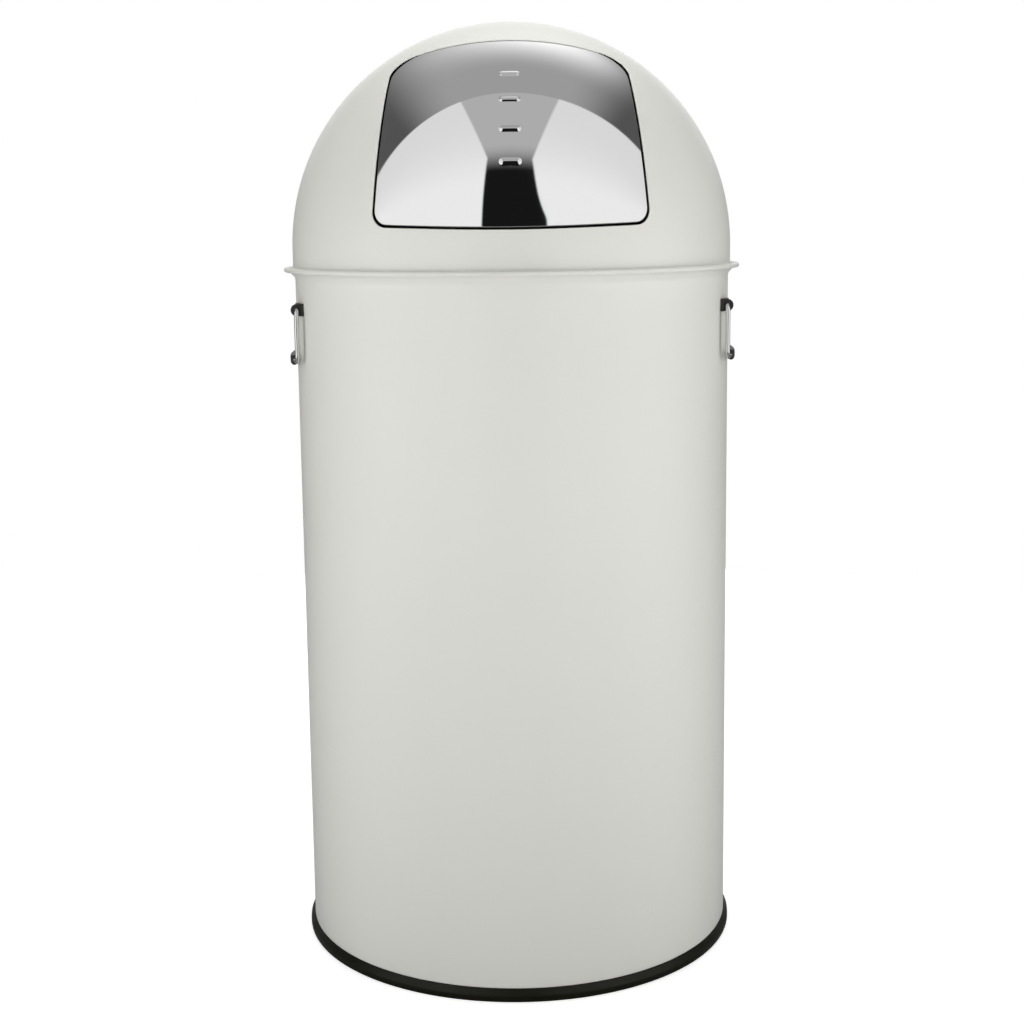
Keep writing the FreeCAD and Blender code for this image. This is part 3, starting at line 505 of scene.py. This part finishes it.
dome = {"inner": 170.6 * mm, "spigot": 168.7 * mm, "spigotLow": 515 * mm, "sheet": 0.9 * mm,
        "shoulderLow": 529.9 * mm, "shoulderTop": 532 * mm, "neck": 170.6 * mm, "neckTop": 538.5 * mm,
        "neckEase": 3 * mm, "beadOuter": 172.9 * mm, "beadLow": 535.2 * mm, "beadTop": 538.2 * mm,
        "beadEnd": 80, "beadSteps": 8, "rings": 72, "steps": 240, "roll": 0.55 * mm, "rollSteps": 4,
        "frontShare": 0.3}


def makeDome():
    d = dome
    high, outer, inner = push["centre"].z, push["radius"], d["inner"]
    sheet = d["sheet"]
    points = [(d["spigot"] - sheet, d["spigotLow"]), (d["spigot"] - 0.3 * mm, d["spigotLow"]),
              (d["spigot"], d["spigotLow"] + 0.4 * mm), (d["spigot"], d["shoulderLow"]),
              (d["neck"], d["shoulderTop"]), (d["neck"], d["beadLow"] - 0.3 * mm)]
    bead = (d["beadTop"] - d["beadLow"]) / 2  # turned edge over the can's rim
    points += arc((d["beadOuter"] - bead, d["beadLow"] + bead), bead, -90, d["beadEnd"], d["beadSteps"])
    points += [(outer + 0.04 * mm, d["beadTop"] + 0.25 * mm), (outer, d["beadTop"] + 0.7 * mm)]
    points += arc((0, high), outer, 0, 90, d["rings"])
    points += arc((0, high), inner, 90, 0, d["rings"])
    points += [(inner, d["neckTop"] + d["neckEase"]), (d["neck"] - sheet, d["neckTop"]),
               (d["neck"] - sheet, d["shoulderTop"]), (d["spigot"] - sheet, d["shoulderLow"])]
    bm = bmesh.new()
    turn(bm, points, d["steps"])

    # cut both faces of the sheet along the opening, a little wide, and roll the outer edge in
    inside = [face for face in bm.faces
              if (face.calc_center_median() - push["centre"]).dot(outAxis) > d["frontShare"] * outer]
    for place, out in outlinePlanes(pushOutline(-d["roll"], -d["roll"], -d["roll"])):
        geom = list({item for face in inside for item in (*face.verts, *face.edges, face)})
        made = bmesh.ops.bisect_plane(bm, geom=geom, dist=tiny, plane_co=place, plane_no=out)["geom"]
        faces = [item for item in made if isinstance(item, bmesh.types.BMFace)]
        inside = [face for face in faces if (face.calc_center_median() - place).dot(out) < 0]
    bmesh.ops.delete(bm, geom=inside, context="FACES")
    for edge in (edge for edge in bm.edges if edge.is_boundary):
        for vert in edge.verts:
            away = vert.co - push["centre"]
            size = outer if away.length > (outer + inner) / 2 else inner
            vert.co = push["centre"] + away.normalized() * size
    innerLoop = openLoop(bm, inner)
    rolled = rollEdge(bm, openLoop(bm, outer), d["roll"], d["rollSteps"], towardsCentre)
    bmesh.ops.bridge_loops(bm, edges=rolled + innerLoop)
    bmesh.ops.recalc_face_normals(bm, faces=bm.faces)
    finishPiece("lidDome", bm, "lid", "body_paint", ["lid_dome"])


makeDome()


# push flap

flap = {"sheet": 1.0 * mm, "sheetShare": 0.9, "leastOut": 0.3, "gapSide": 1.2 * mm, "gapTop": 0.9 * mm,
        "gapLow": 1.1 * mm, "round": 0.9 * mm, "roundSteps": 5, "cornerEase": 7 * mm, "lip": 6 * mm,
        "lipStart": 3 * mm, "lipGrow": 6 * mm, "cell": 2.5 * mm, "cells": 84, "ribLength": 16 * mm,
        "ribWidth": 6 * mm, "ribHeight": 0.8 * mm, "ribPitch": 25 * mm, "ribs": 4, "ribEase": 2.9 * mm,
        "ribCuts": 4, "sharp": 60}


def ribHeight(u, v):
    # height of the raised bars over the panel
    f = flap
    radius = f["ribWidth"] / 2
    half = f["ribLength"] / 2 - radius
    best = 0.0
    for i in range(f["ribs"]):
        middle = f["ribPitch"] * (i - (f["ribs"] - 1) / 2)
        away = math.hypot(max(abs(u) - half, 0), v - middle)
        t = min(max((radius - away) / f["ribEase"], 0), 1)
        best = max(best, f["ribHeight"] * t * t * (3 - 2 * t))
    return best


def makeFlap():
    f = flap
    centre, radius = push["centre"], push["radius"]
    bm = bmesh.new()
    cells = f["cells"]
    bmesh.ops.create_grid(bm, x_segments=cells, y_segments=cells, size=cells * f["cell"] / 2)
    zoneX = f["ribLength"] / 2 + f["cell"]
    zoneY = f["ribPitch"] * (f["ribs"] - 1) / 2 + f["ribWidth"] / 2 + f["cell"]
    fine = [edge for edge in bm.edges
            if all(abs(vert.co.x) < zoneX and abs(vert.co.y) < zoneY for vert in edge.verts)]
    bmesh.ops.subdivide_edges(bm, edges=fine, cuts=f["ribCuts"], use_grid_fill=True)
    for vert in bm.verts:
        u, v = vert.co.x, vert.co.y
        rise = ribHeight(u, v)
        flat = Vector((u, v)).length
        skin = onPlane(u, v, math.sqrt(max(radius ** 2 - flat ** 2, (f["leastOut"] * radius) ** 2)))
        vert.co = centre + (skin - centre).normalized() * (radius + rise)
    inset = f["round"]
    outline = pushOutline(f["gapSide"] + inset, f["gapTop"] + inset, f["gapLow"] + inset, f["cornerEase"])
    for place, out in outlinePlanes(outline):
        geom = [*bm.verts, *bm.edges, *bm.faces]
        bmesh.ops.bisect_plane(bm, geom=geom, dist=tiny, plane_co=place, plane_no=out, clear_outer=True)
    edges = [edge for edge in bm.edges if edge.is_boundary]
    for vert in {v for edge in edges for v in edge.verts}:
        vert.co = centre + (vert.co - centre).normalized() * radius
    bmesh.ops.recalc_face_normals(bm, faces=bm.faces)
    if sum((face.normal.dot(outAxis) for face in bm.faces), 0.0) < 0:
        bmesh.ops.reverse_faces(bm, faces=bm.faces)
    edges = rollEdge(bm, edges, f["round"], f["roundSteps"], towardsCentre)

    # turned-in sides and foot; the top edge stays a plain sheet over the hinge leaf
    made = bmesh.ops.extrude_edge_only(bm, edges=edges)["geom"]
    topEdge = push["top"] - f["gapTop"]
    for vert in (item for item in made if isinstance(item, bmesh.types.BMVert)):
        v = (vert.co - centre).dot(upSlope)
        share = min(max((topEdge - f["lipStart"] - v) / f["lipGrow"], 0), 1)
        vert.co -= outAxis * (f["lip"] - f["round"]) * share
    bmesh.ops.solidify(bm, geom=bm.faces, thickness=f["sheet"] * f["sheetShare"])
    piece = finishPiece("pushFlap", bm, "flap", "flap_chrome", ["flap_panel"], f["sharp"])

    # the smooth part of the panel takes the dome's own normals, so reflections run clean
    normals = []
    for vert in piece.data.vertices:
        away = vert.co - centre
        u, v = away.dot(acrossAxis), away.dot(upSlope)
        clean = abs(away.length - radius) < weld and ribHeight(u, v) == 0
        normals.append(away.normalized() if clean else Vector())
    piece.data.normals_split_custom_set_from_vertices(normals)


makeFlap()


# bent wire

def ring(bm, place, heading, radius, sides):
    turned = heading.to_track_quat("Z", "Y").to_matrix().to_4x4()
    made = bmesh.ops.create_circle(bm, cap_ends=True, segments=sides, radius=radius,
                                   matrix=Matrix.Translation(place) @ turned)
    face = made["verts"][0].link_faces[0]
    return list(face.edges)


def runWire(bm, edges, vector):
    made = bmesh.ops.extrude_edge_only(bm, edges=edges)["geom"]
    ends = [item for item in made if isinstance(item, bmesh.types.BMVert)]
    bmesh.ops.translate(bm, verts=ends, vec=vector)
    return [item for item in made
            if isinstance(item, bmesh.types.BMEdge) and all(vert in ends for vert in item.verts)]


def bendWire(bm, edges, centre, axis, angle, steps, climb=Vector()):
    geom = list({vert for edge in edges for vert in edge.verts}) + list(edges)
    last = bmesh.ops.spin(bm, geom=geom, cent=centre, axis=axis, dvec=climb / steps, angle=angle, steps=steps,
                          use_merge=False)["geom_last"]
    return [item for item in last if isinstance(item, bmesh.types.BMEdge)]


def closeWire(bm, edges, ease):
    bmesh.ops.edgeloop_fill(bm, edges=edges)
    bmesh.ops.recalc_face_normals(bm, faces=bm.faces)
    rims = [edge for face in bm.faces if len(face.verts) > 4 for edge in face.edges]
    bmesh.ops.bevel(bm, geom=rims, offset=ease, offset_type="OFFSET", segments=3, profile=0.5, affect="EDGES",
                    material=-1)


# side handles

handle = {"half": 68 * mm, "bend": 4 * mm, "wire": 3.6 * mm, "stub": 7 * mm, "fall": 39 * mm,
          "runX": 172.8 * mm, "sides": 24, "bendSteps": 10, "runSteps": 40, "tipEase": 0.4 * mm,
          "gripHalf": 48 * mm, "gripHeight": 7.8 * mm, "gripThick": 4.8 * mm, "gripCorner": 0.45,
          "gripRim": 1.2, "gripEase": 1.3 * mm, "gripSteps": 32}


def handleArc():
    # radius and half angle of the lower run, which bows with the body
    h = handle
    hingeX = joints["right_handle_swing"]["pos_m"][0]
    angle = 2 * math.atan((h["runX"] - hingeX) / (h["half"] + h["bend"]))
    return (h["half"] - h["bend"] * math.cos(angle)) / math.sin(angle), angle


def makeBail(side):
    h = handle
    hinge = Vector(joints["right_handle_swing"]["pos_m"])
    radius, angle = handleArc()
    bend, straight = h["bend"], h["half"] - h["bend"]
    low = hinge.z - h["fall"]
    down, up, back = Vector((0, 0, -1)), Vector((0, 0, 1)), Vector((0, 1, 0))
    bm = bmesh.new()
    edges = ring(bm, Vector((hinge.x, straight - h["stub"], hinge.z)), back, h["wire"] / 2, h["sides"])
    edges = runWire(bm, edges, back * h["stub"])
    edges = bendWire(bm, edges, (hinge.x, straight, hinge.z - bend), (1, 0, 0), -math.pi / 2, h["bendSteps"])
    edges = runWire(bm, edges, down * (h["fall"] - 2 * bend))
    inRun = Vector((math.sin(angle), -math.cos(angle), 0))
    place = Vector((hinge.x, h["half"], low + bend))
    edges = bendWire(bm, edges, place + inRun * bend, down.cross(inRun), math.pi / 2, h["bendSteps"])
    edges = bendWire(bm, edges, (h["runX"] - radius, 0, low), (0, 0, 1), -2 * angle, h["runSteps"])
    outRun = Vector((-math.sin(angle), -math.cos(angle), 0))
    place = Vector((h["runX"] - radius + radius * math.cos(angle), -radius * math.sin(angle), low))
    edges = bendWire(bm, edges, place + up * bend, outRun.cross(up), math.pi / 2, h["bendSteps"])
    edges = runWire(bm, edges, up * (h["fall"] - 2 * bend))
    edges = bendWire(bm, edges, (hinge.x, -straight, hinge.z - bend), (1, 0, 0), -math.pi / 2, h["bendSteps"])
    edges = runWire(bm, edges, back * h["stub"])
    closeWire(bm, edges, h["tipEase"])
    mirrorPiece(bm, side)
    finishPiece(side + "HandleBail", bm, side + "_handle", "wire_chrome", [side + "_handle_bail"])


def mirrorPiece(bm, side):
    if side == "left":
        bmesh.ops.scale(bm, vec=(-1, 1, 1), verts=bm.verts)
    bmesh.ops.recalc_face_normals(bm, faces=bm.faces)


def makeGrip(side):
    # moulded sleeve on the lower run
    h = handle
    radius, _ = handleArc()
    sweep = math.asin(h["gripHalf"] / radius)
    middle = Vector((h["runX"] - radius, 0, joints["right_handle_swing"]["pos_m"][2] - h["fall"]))
    bm = bmesh.new()
    corners = [(-1, -1), (1, -1), (1, 1), (-1, 1)]
    verts = [bm.verts.new((h["runX"] + x * h["gripThick"] / 2, 0, middle.z + z * h["gripHeight"] / 2))
             for x, z in corners]
    bm.faces.new(verts)
    bmesh.ops.bevel(bm, geom=verts, offset=h["gripThick"] * h["gripCorner"], offset_type="OFFSET", segments=6,
                    profile=0.5, affect="VERTICES", material=-1)
    bmesh.ops.rotate(bm, verts=bm.verts, cent=middle, matrix=Matrix.Rotation(-sweep, 3, "Z"))
    bmesh.ops.spin(bm, geom=[*bm.verts, *bm.edges, *bm.faces], cent=middle, axis=(0, 0, 1), dvec=(0, 0, 0),
                   angle=2 * sweep, steps=h["gripSteps"], use_merge=False)
    bmesh.ops.recalc_face_normals(bm, faces=bm.faces)
    rims = [edge for edge in bm.edges if edge.is_manifold and edge.calc_face_angle() > h["gripRim"]]
    bmesh.ops.bevel(bm, geom=rims, offset=h["gripEase"], offset_type="OFFSET", segments=4, profile=0.5,
                    affect="EDGES", material=-1)
    mirrorPiece(bm, side)
    finishPiece(side + "HandleGrip", bm, side + "_handle", "black_plastic", [side + "_handle_grip"])


for side in ("right", "left"):
    makeBail(side)
    makeGrip(side)


# liner

liner = {"top": 490 * mm, "foot": 14 * mm, "radius": 147 * mm, "draft": 7 * mm, "sheet": 0.8 * mm,
         "rim": 3 * mm, "beadSteps": 10, "steps": 192, "bailRest": math.radians(24.0),
         "bailRadius": 157.91 * mm, "bailBend": 5 * mm, "bailWire": 4.5 * mm, "bailTip": 147.41 * mm,
         "bailSides": 20, "bailSteps": 96, "bendSteps": 8, "tipEase": 0.5 * mm}


def makeLiner():
    n = liner
    radius, top, sheet = n["radius"], n["top"], n["sheet"]
    low, under, bead = radius - n["draft"], top - n["rim"], n["rim"] / 2
    points = [(low - sheet, n["foot"]), (low, n["foot"]), (radius, under - 0.6 * mm),
              (radius + 0.25 * mm, under - 0.1 * mm), (radius + 0.8 * mm, under)]
    points += arc((radius + n["rim"] - bead, top - bead), bead, -90, 90, n["beadSteps"])
    points += [(radius + 0.3 * mm, top - 0.1 * mm), (radius - sheet + 0.15 * mm, top - 0.8 * mm),
               (radius - sheet, top - 1.8 * mm)]
    bm = bmesh.new()
    turn(bm, points, n["steps"])
    finishPiece("linerWall", bm, "liner", "galvanised", ["liner_wall"])


def makeLinerBail():
    n = liner
    across = Vector((1, 0, 0))
    shoulder = n["bailRadius"] - n["bailBend"]
    bm = bmesh.new()
    edges = ring(bm, across * n["bailTip"], across, n["bailWire"] / 2, n["bailSides"])
    edges = runWire(bm, edges, across * (shoulder - n["bailTip"]))
    edges = bendWire(bm, edges, (shoulder, n["bailBend"], 0), (0, 0, 1), math.pi / 2, n["bendSteps"])
    edges = bendWire(bm, edges, (0, n["bailBend"], 0), (0, 0, 1), math.pi, n["bailSteps"])
    edges = bendWire(bm, edges, (-shoulder, n["bailBend"], 0), (0, 0, 1), math.pi / 2, n["bendSteps"])
    edges = runWire(bm, edges, across * (shoulder - n["bailTip"]))
    closeWire(bm, edges, n["tipEase"])
    pivot = Vector(joints["liner_bail_swing"]["pos_m"])
    lean = Matrix.Translation(pivot) @ Matrix.Rotation(-n["bailRest"], 4, "X")
    bmesh.ops.transform(bm, matrix=lean, verts=bm.verts)
    finishPiece("linerBail", bm, "liner_handle", "galvanised", ["liner_bail"])


makeLiner()
makeLinerBail()


# torsion springs on the hinge pin

spring = {"wire": 1.2 * mm, "radius": 4.6 * mm, "start": 64 * mm, "end": 70 * mm, "turns": 3,
          "reach": 20 * mm, "lift": math.radians(10.8), "hook": 8 * mm, "polar": math.radians(21.4945),
          "stepsPerTurn": 32, "sides": 12, "tipEase": 0.2 * mm}


def makeSpring(side):
    # built in the hinge's own frame: X along the pin, Y up the slope, Z out of the dome
    s = spring
    first = math.pi / 2 + s["lift"]
    total = math.pi + 2 * math.pi * s["turns"] - first
    place = Vector((s["start"], -s["radius"] * math.cos(first), s["radius"] * math.sin(first)))
    heading = Vector((0, math.sin(first), math.cos(first)))
    bm = bmesh.new()
    edges = ring(bm, place - heading * s["reach"], heading, s["wire"] / 2, s["sides"])
    edges = runWire(bm, edges, heading * s["reach"])
    steps = round(s["stepsPerTurn"] * total / (2 * math.pi))
    edges = bendWire(bm, edges, (0, 0, 0), (-1, 0, 0), total, steps, Vector((s["end"] - s["start"], 0, 0)))
    edges = runWire(bm, edges, Vector((0, 0, -1)) * s["hook"])
    closeWire(bm, edges, s["tipEase"])
    pin = Matrix.Translation(joints["flap_swing"]["pos_m"]) @ Matrix.Rotation(s["polar"], 4, "X")
    bmesh.ops.transform(bm, matrix=pin, verts=bm.verts)
    mirrorPiece(bm, side)
    finishPiece(side + "TorsionSpring", bm, "flap", "spring_steel", [side + "_torsion_spring"])


for side in ("right", "left"):
    makeSpring(side)


# nodes that keep their shape take their slot's finish

def dressFrame():
    slots = {part["node"]: part["material_slot"] for part in frame["record"]["subparts"]}
    for name, node in frame["nodes"].items():
        for holder in node.material_slots:
            holder.material = finishes[slots[name]]


dressFrame()
print("pieces made")


# studio

ground = {"size": 1.4, "colour": (0.72, 0.72, 0.72, 1), "shade": 0.97, "mirrored": (0.32, 0.32, 0.32, 1),
          "lift": (0.69, 1.0), "fade": (0.3, 0.9), "gloss": 0.1, "roughness": 0.9, "sheen": 0.1,
          "patches": 3.0}


def seenDirectly(tree, path):
    return calc(tree, "MAXIMUM", path.outputs["Is Camera Ray"], path.outputs["Is Transmission Ray"])


def makeFloor():
    # fades into the white round it when seen directly, and stays dim in the chrome
    material, tree, shader = newFinish("paleFloor")
    shader.inputs["Roughness"].default_value = ground["roughness"]
    shader.inputs["Specular IOR Level"].default_value = ground["sheen"]
    shader.inputs["Emission Color"].default_value = white
    place = objectPlace(tree)
    path = addNode(tree, "ShaderNodeLightPath")
    shade = dimmed(ground["colour"], ground["shade"])
    tone = mixColour(tree, noise(tree, place, ground["patches"]), ground["colour"], shade)
    tone = mixColour(tree, path.outputs["Is Glossy Ray"], tone, ground["mirrored"])
    tree.links.new(tone, shader.inputs["Base Color"])
    away = addNode(tree, "ShaderNodeVectorMath", operation="LENGTH")
    tree.links.new(place, away.inputs[0])
    lift = ramp(tree, away.outputs["Value"], *ground["fade"], *ground["lift"])
    mirrored = calc(tree, "MULTIPLY", path.outputs["Is Glossy Ray"], ground["gloss"])
    shown = calc(tree, "MAXIMUM", seenDirectly(tree, path), mirrored)
    tree.links.new(calc(tree, "MULTIPLY", shown, lift), shader.inputs["Emission Strength"])
    bm = bmesh.new()
    bmesh.ops.create_circle(bm, cap_ends=True, segments=64, radius=ground["size"])
    floor = addObject("floor", bm, material)


studio = {"panel": (1.08, 1.3), "panelRise": (0.2, 1.6), "panelEdge": (-0.01, 0.012), "gap": (0.65, 0.012),
          "gapFall": (0.72, 1.25), "gapRoof": 0.35, "gapNarrow": 0.1, "gapFront": 0.264,
          "gapLean": (1.2, 4.0, -0.012, 0.064), "roofBow": 0.086, "roofSkew": 0.014, "roofFlat": 0.115,
          "roofEdge": (-0.006, 0.006), "roofStart": (-0.3, -0.1), "roofGlow": 0.38, "roofFade": (0.35, 0.95),
          "leastUp": 0.02, "ceiling": 0.13, "backGlow": 1.05, "backRise": (-0.2, -0.9),
          "backFall": (-1.6, -0.9), "glowMiddle": 0.15, "glowWidth": 0.42, "backdrop": 1.1,
          "wallBack": (0.8, 0.95), "wallRise": (0.03, 0.2), "below": 0.3, "belowFade": (-0.45, -0.12),
          "softLight": 0.96, "softFade": (0.1, 0.5)}


def makeWorld():
    # white tent open at the front and along its roof, with a dim ceiling and a bright backdrop
    world = bpy.data.worlds.new("studio")
    scene.world = world
    world.use_nodes = True
    tree = world.node_tree
    tree.nodes.clear()
    split = addNode(tree, "ShaderNodeSeparateXYZ")
    tree.links.new(addNode(tree, "ShaderNodeTexCoord").outputs["Generated"], split.inputs[0])
    across, back, height = split.outputs
    front = calc(tree, "MULTIPLY", back, -1.0)
    up = calc(tree, "MAXIMUM", height, studio["leastUp"])
    roofX, roofY = calc(tree, "DIVIDE", across, up), calc(tree, "DIVIDE", front, up)
    sideways = calc(tree, "ABSOLUTE", across)
    skew = calc(tree, "SUBTRACT", calc(tree, "MULTIPLY", sideways, studio["roofBow"]),
                calc(tree, "MULTIPLY", across, studio["roofSkew"]))
    bow = calc(tree, "MULTIPLY", calc(tree, "MULTIPLY", across, up), skew)
    flat = calc(tree, "MULTIPLY", calc(tree, "MULTIPLY", up, up), studio["roofFlat"])
    roofEdge = calc(tree, "SUBTRACT", calc(tree, "ADD", calc(tree, "MULTIPLY", front, up), bow), flat)
    inTent = calc(tree, "MULTIPLY", ramp(tree, roofEdge, *studio["roofEdge"]),
                  ramp(tree, front, *studio["roofStart"]))

    # the dark gap between the two panels narrows along the roof and widens down the front
    roofGap = calc(tree, "SUBTRACT", calc(tree, "MULTIPLY", up, studio["gapRoof"]),
                   calc(tree, "MULTIPLY", front, studio["gapNarrow"]))
    onRight = calc(tree, "GREATER_THAN", across, 0.0)
    lean = calc(tree, "MULTIPLY", onRight, ramp(tree, roofY, *studio["gapLean"]))
    frontGap = calc(tree, "MULTIPLY", front, calc(tree, "ADD", lean, studio["gapFront"]))
    offGap = calc(tree, "SUBTRACT", sideways, calc(tree, "MAXIMUM", roofGap, frontGap))
    onPanel = ramp(tree, offGap, *studio["panelEdge"])
    gapLevel = ramp(tree, roofY, *studio["gapFall"], *studio["gap"])
    panelLevel = ramp(tree, roofY, *studio["panelRise"], *studio["panel"])
    tent = calc(tree, "ADD", calc(tree, "MULTIPLY", panelLevel, onPanel),
                calc(tree, "MULTIPLY", gapLevel, calc(tree, "SUBTRACT", 1.0, onPanel)))

    # ceiling behind the tent, brightest towards the back and a little to the right
    roofLevel = ramp(tree, calc(tree, "ABSOLUTE", roofX), *studio["roofFade"], studio["roofGlow"], 0.0)
    aside = calc(tree, "SUBTRACT", roofX, studio["glowMiddle"])
    aside = calc(tree, "DIVIDE", aside, studio["glowWidth"])
    spread = calc(tree, "EXPONENT", calc(tree, "MULTIPLY", calc(tree, "MULTIPLY", aside, aside), -1.0))
    behind = calc(tree, "MULTIPLY", ramp(tree, roofY, *studio["backRise"], 0.0, studio["backGlow"]),
                  ramp(tree, roofY, *studio["backFall"]))
    glow = calc(tree, "MULTIPLY", spread, behind)
    wall = calc(tree, "MULTIPLY", ramp(tree, back, *studio["wallBack"]),
                ramp(tree, height, *studio["wallRise"]))
    wall = calc(tree, "MULTIPLY", wall, studio["backdrop"])
    ceiling = calc(tree, "ADD", calc(tree, "ADD", glow, roofLevel), studio["ceiling"])
    ceiling = calc(tree, "MAXIMUM", ceiling, wall)
    level = calc(tree, "ADD", calc(tree, "MULTIPLY", tent, inTent),
                 calc(tree, "MULTIPLY", ceiling, calc(tree, "SUBTRACT", 1.0, inTent)))
    level = calc(tree, "MULTIPLY", level, ramp(tree, height, *studio["belowFade"], studio["below"], 1.0))
    path = addNode(tree, "ShaderNodeLightPath")
    soft, mirrored, seen = (addNode(tree, "ShaderNodeBackground") for _ in range(3))
    lowOnly = ramp(tree, height, *studio["softFade"], studio["softLight"], 0.0)  # diffuse light comes in low
    tree.links.new(calc(tree, "MULTIPLY", level, lowOnly), soft.inputs["Strength"])
    tree.links.new(level, mirrored.inputs["Strength"])
    for backing in (soft, mirrored, seen):
        backing.inputs["Color"].default_value = white
    inGloss, inView = addNode(tree, "ShaderNodeMixShader"), addNode(tree, "ShaderNodeMixShader")
    tree.links.new(path.outputs["Is Glossy Ray"], inGloss.inputs[0])
    tree.links.new(soft.outputs[0], inGloss.inputs[1])
    tree.links.new(mirrored.outputs[0], inGloss.inputs[2])
    tree.links.new(seenDirectly(tree, path), inView.inputs[0])
    tree.links.new(inGloss.outputs[0], inView.inputs[1])
    tree.links.new(seen.outputs[0], inView.inputs[2])
    tree.links.new(inView.outputs[0], addNode(tree, "ShaderNodeOutputWorld").inputs["Surface"])


lamps = [
    {"name": "backTop", "place": (0.0, 0.42, 1.9), "aim": 0.6, "size": (1.2, 0.8), "power": 18.5},
    {"name": "leftTop", "place": (-0.75, -0.7, 1.55), "aim": 0.5, "size": (0.7, 0.5), "power": 1.55},
    {"name": "rightTop", "place": (0.75, -0.7, 1.55), "aim": 0.5, "size": (0.7, 0.5), "power": 1.55},
    {"name": "backFill", "place": (0.0, 1.5, 0.2), "aim": 0.2, "size": (1.4, 0.4), "power": 4.8},
    {"name": "leftStrip", "place": (-0.46, -0.4, 0.41), "aim": 0.41, "size": (0.15, 1.0), "power": 1.3},
    {"name": "rightStrip", "place": (0.46, -0.4, 0.41), "aim": 0.41, "size": (0.15, 1.0), "power": 1.3},
    {"name": "frontFill", "place": (0.0, -1.4, 0.16), "aim": 0.1, "size": (1.2, 0.4), "power": 2.1},
]


def makeLamps():
    for entry in lamps:
        data = bpy.data.lights.new(entry["name"], "AREA")
        data.shape = "RECTANGLE"
        data.size, data.size_y = entry["size"]
        data.energy = entry["power"]
        lamp = bpy.data.objects.new(entry["name"], data)
        lamp.location = entry["place"]
        heading = Vector((0, 0, entry["aim"])) - lamp.location
        lamp.rotation_euler = heading.to_track_quat("-Z", "Y").to_euler()
        lamp.visible_glossy = False
        lamp.visible_camera = False
        scene.collection.objects.link(lamp)


view = {"eye": (0, -1350.43 * mm, 577.29 * mm), "pitch": math.radians(9.123), "roll": math.radians(-0.692),
        "focal": 1692.776, "axisX": 514.2, "axisY": 485.4, "frame": 1024.0, "sensor": 36.0}


def makeCamera():
    v = view
    data = bpy.data.cameras.new("photoView")
    data.sensor_fit = "HORIZONTAL"
    data.sensor_width = v["sensor"]
    data.lens = v["focal"] / v["frame"] * v["sensor"]
    data.shift_x = (v["frame"] / 2 - v["axisX"]) / v["frame"]
    data.shift_y = (v["axisY"] - v["frame"] / 2) / v["frame"]
    camera = bpy.data.objects.new("photoView", data)
    up = Vector((0, math.sin(v["pitch"]), math.cos(v["pitch"])))
    back = Vector((0, -math.cos(v["pitch"]), math.sin(v["pitch"])))
    right = Vector((1, 0, 0))
    tiltedRight = right * math.cos(v["roll"]) + up * math.sin(v["roll"])
    tiltedUp = up * math.cos(v["roll"]) - right * math.sin(v["roll"])
    turned = Matrix((tiltedRight, tiltedUp, back)).transposed().to_4x4()
    camera.matrix_world = Matrix.Translation(v["eye"]) @ turned
    scene.collection.objects.link(camera)
    scene.camera = camera


makeFloor()
makeWorld()
makeLamps()
makeCamera()
scene.view_settings.view_transform = "Standard"
print("studio made")
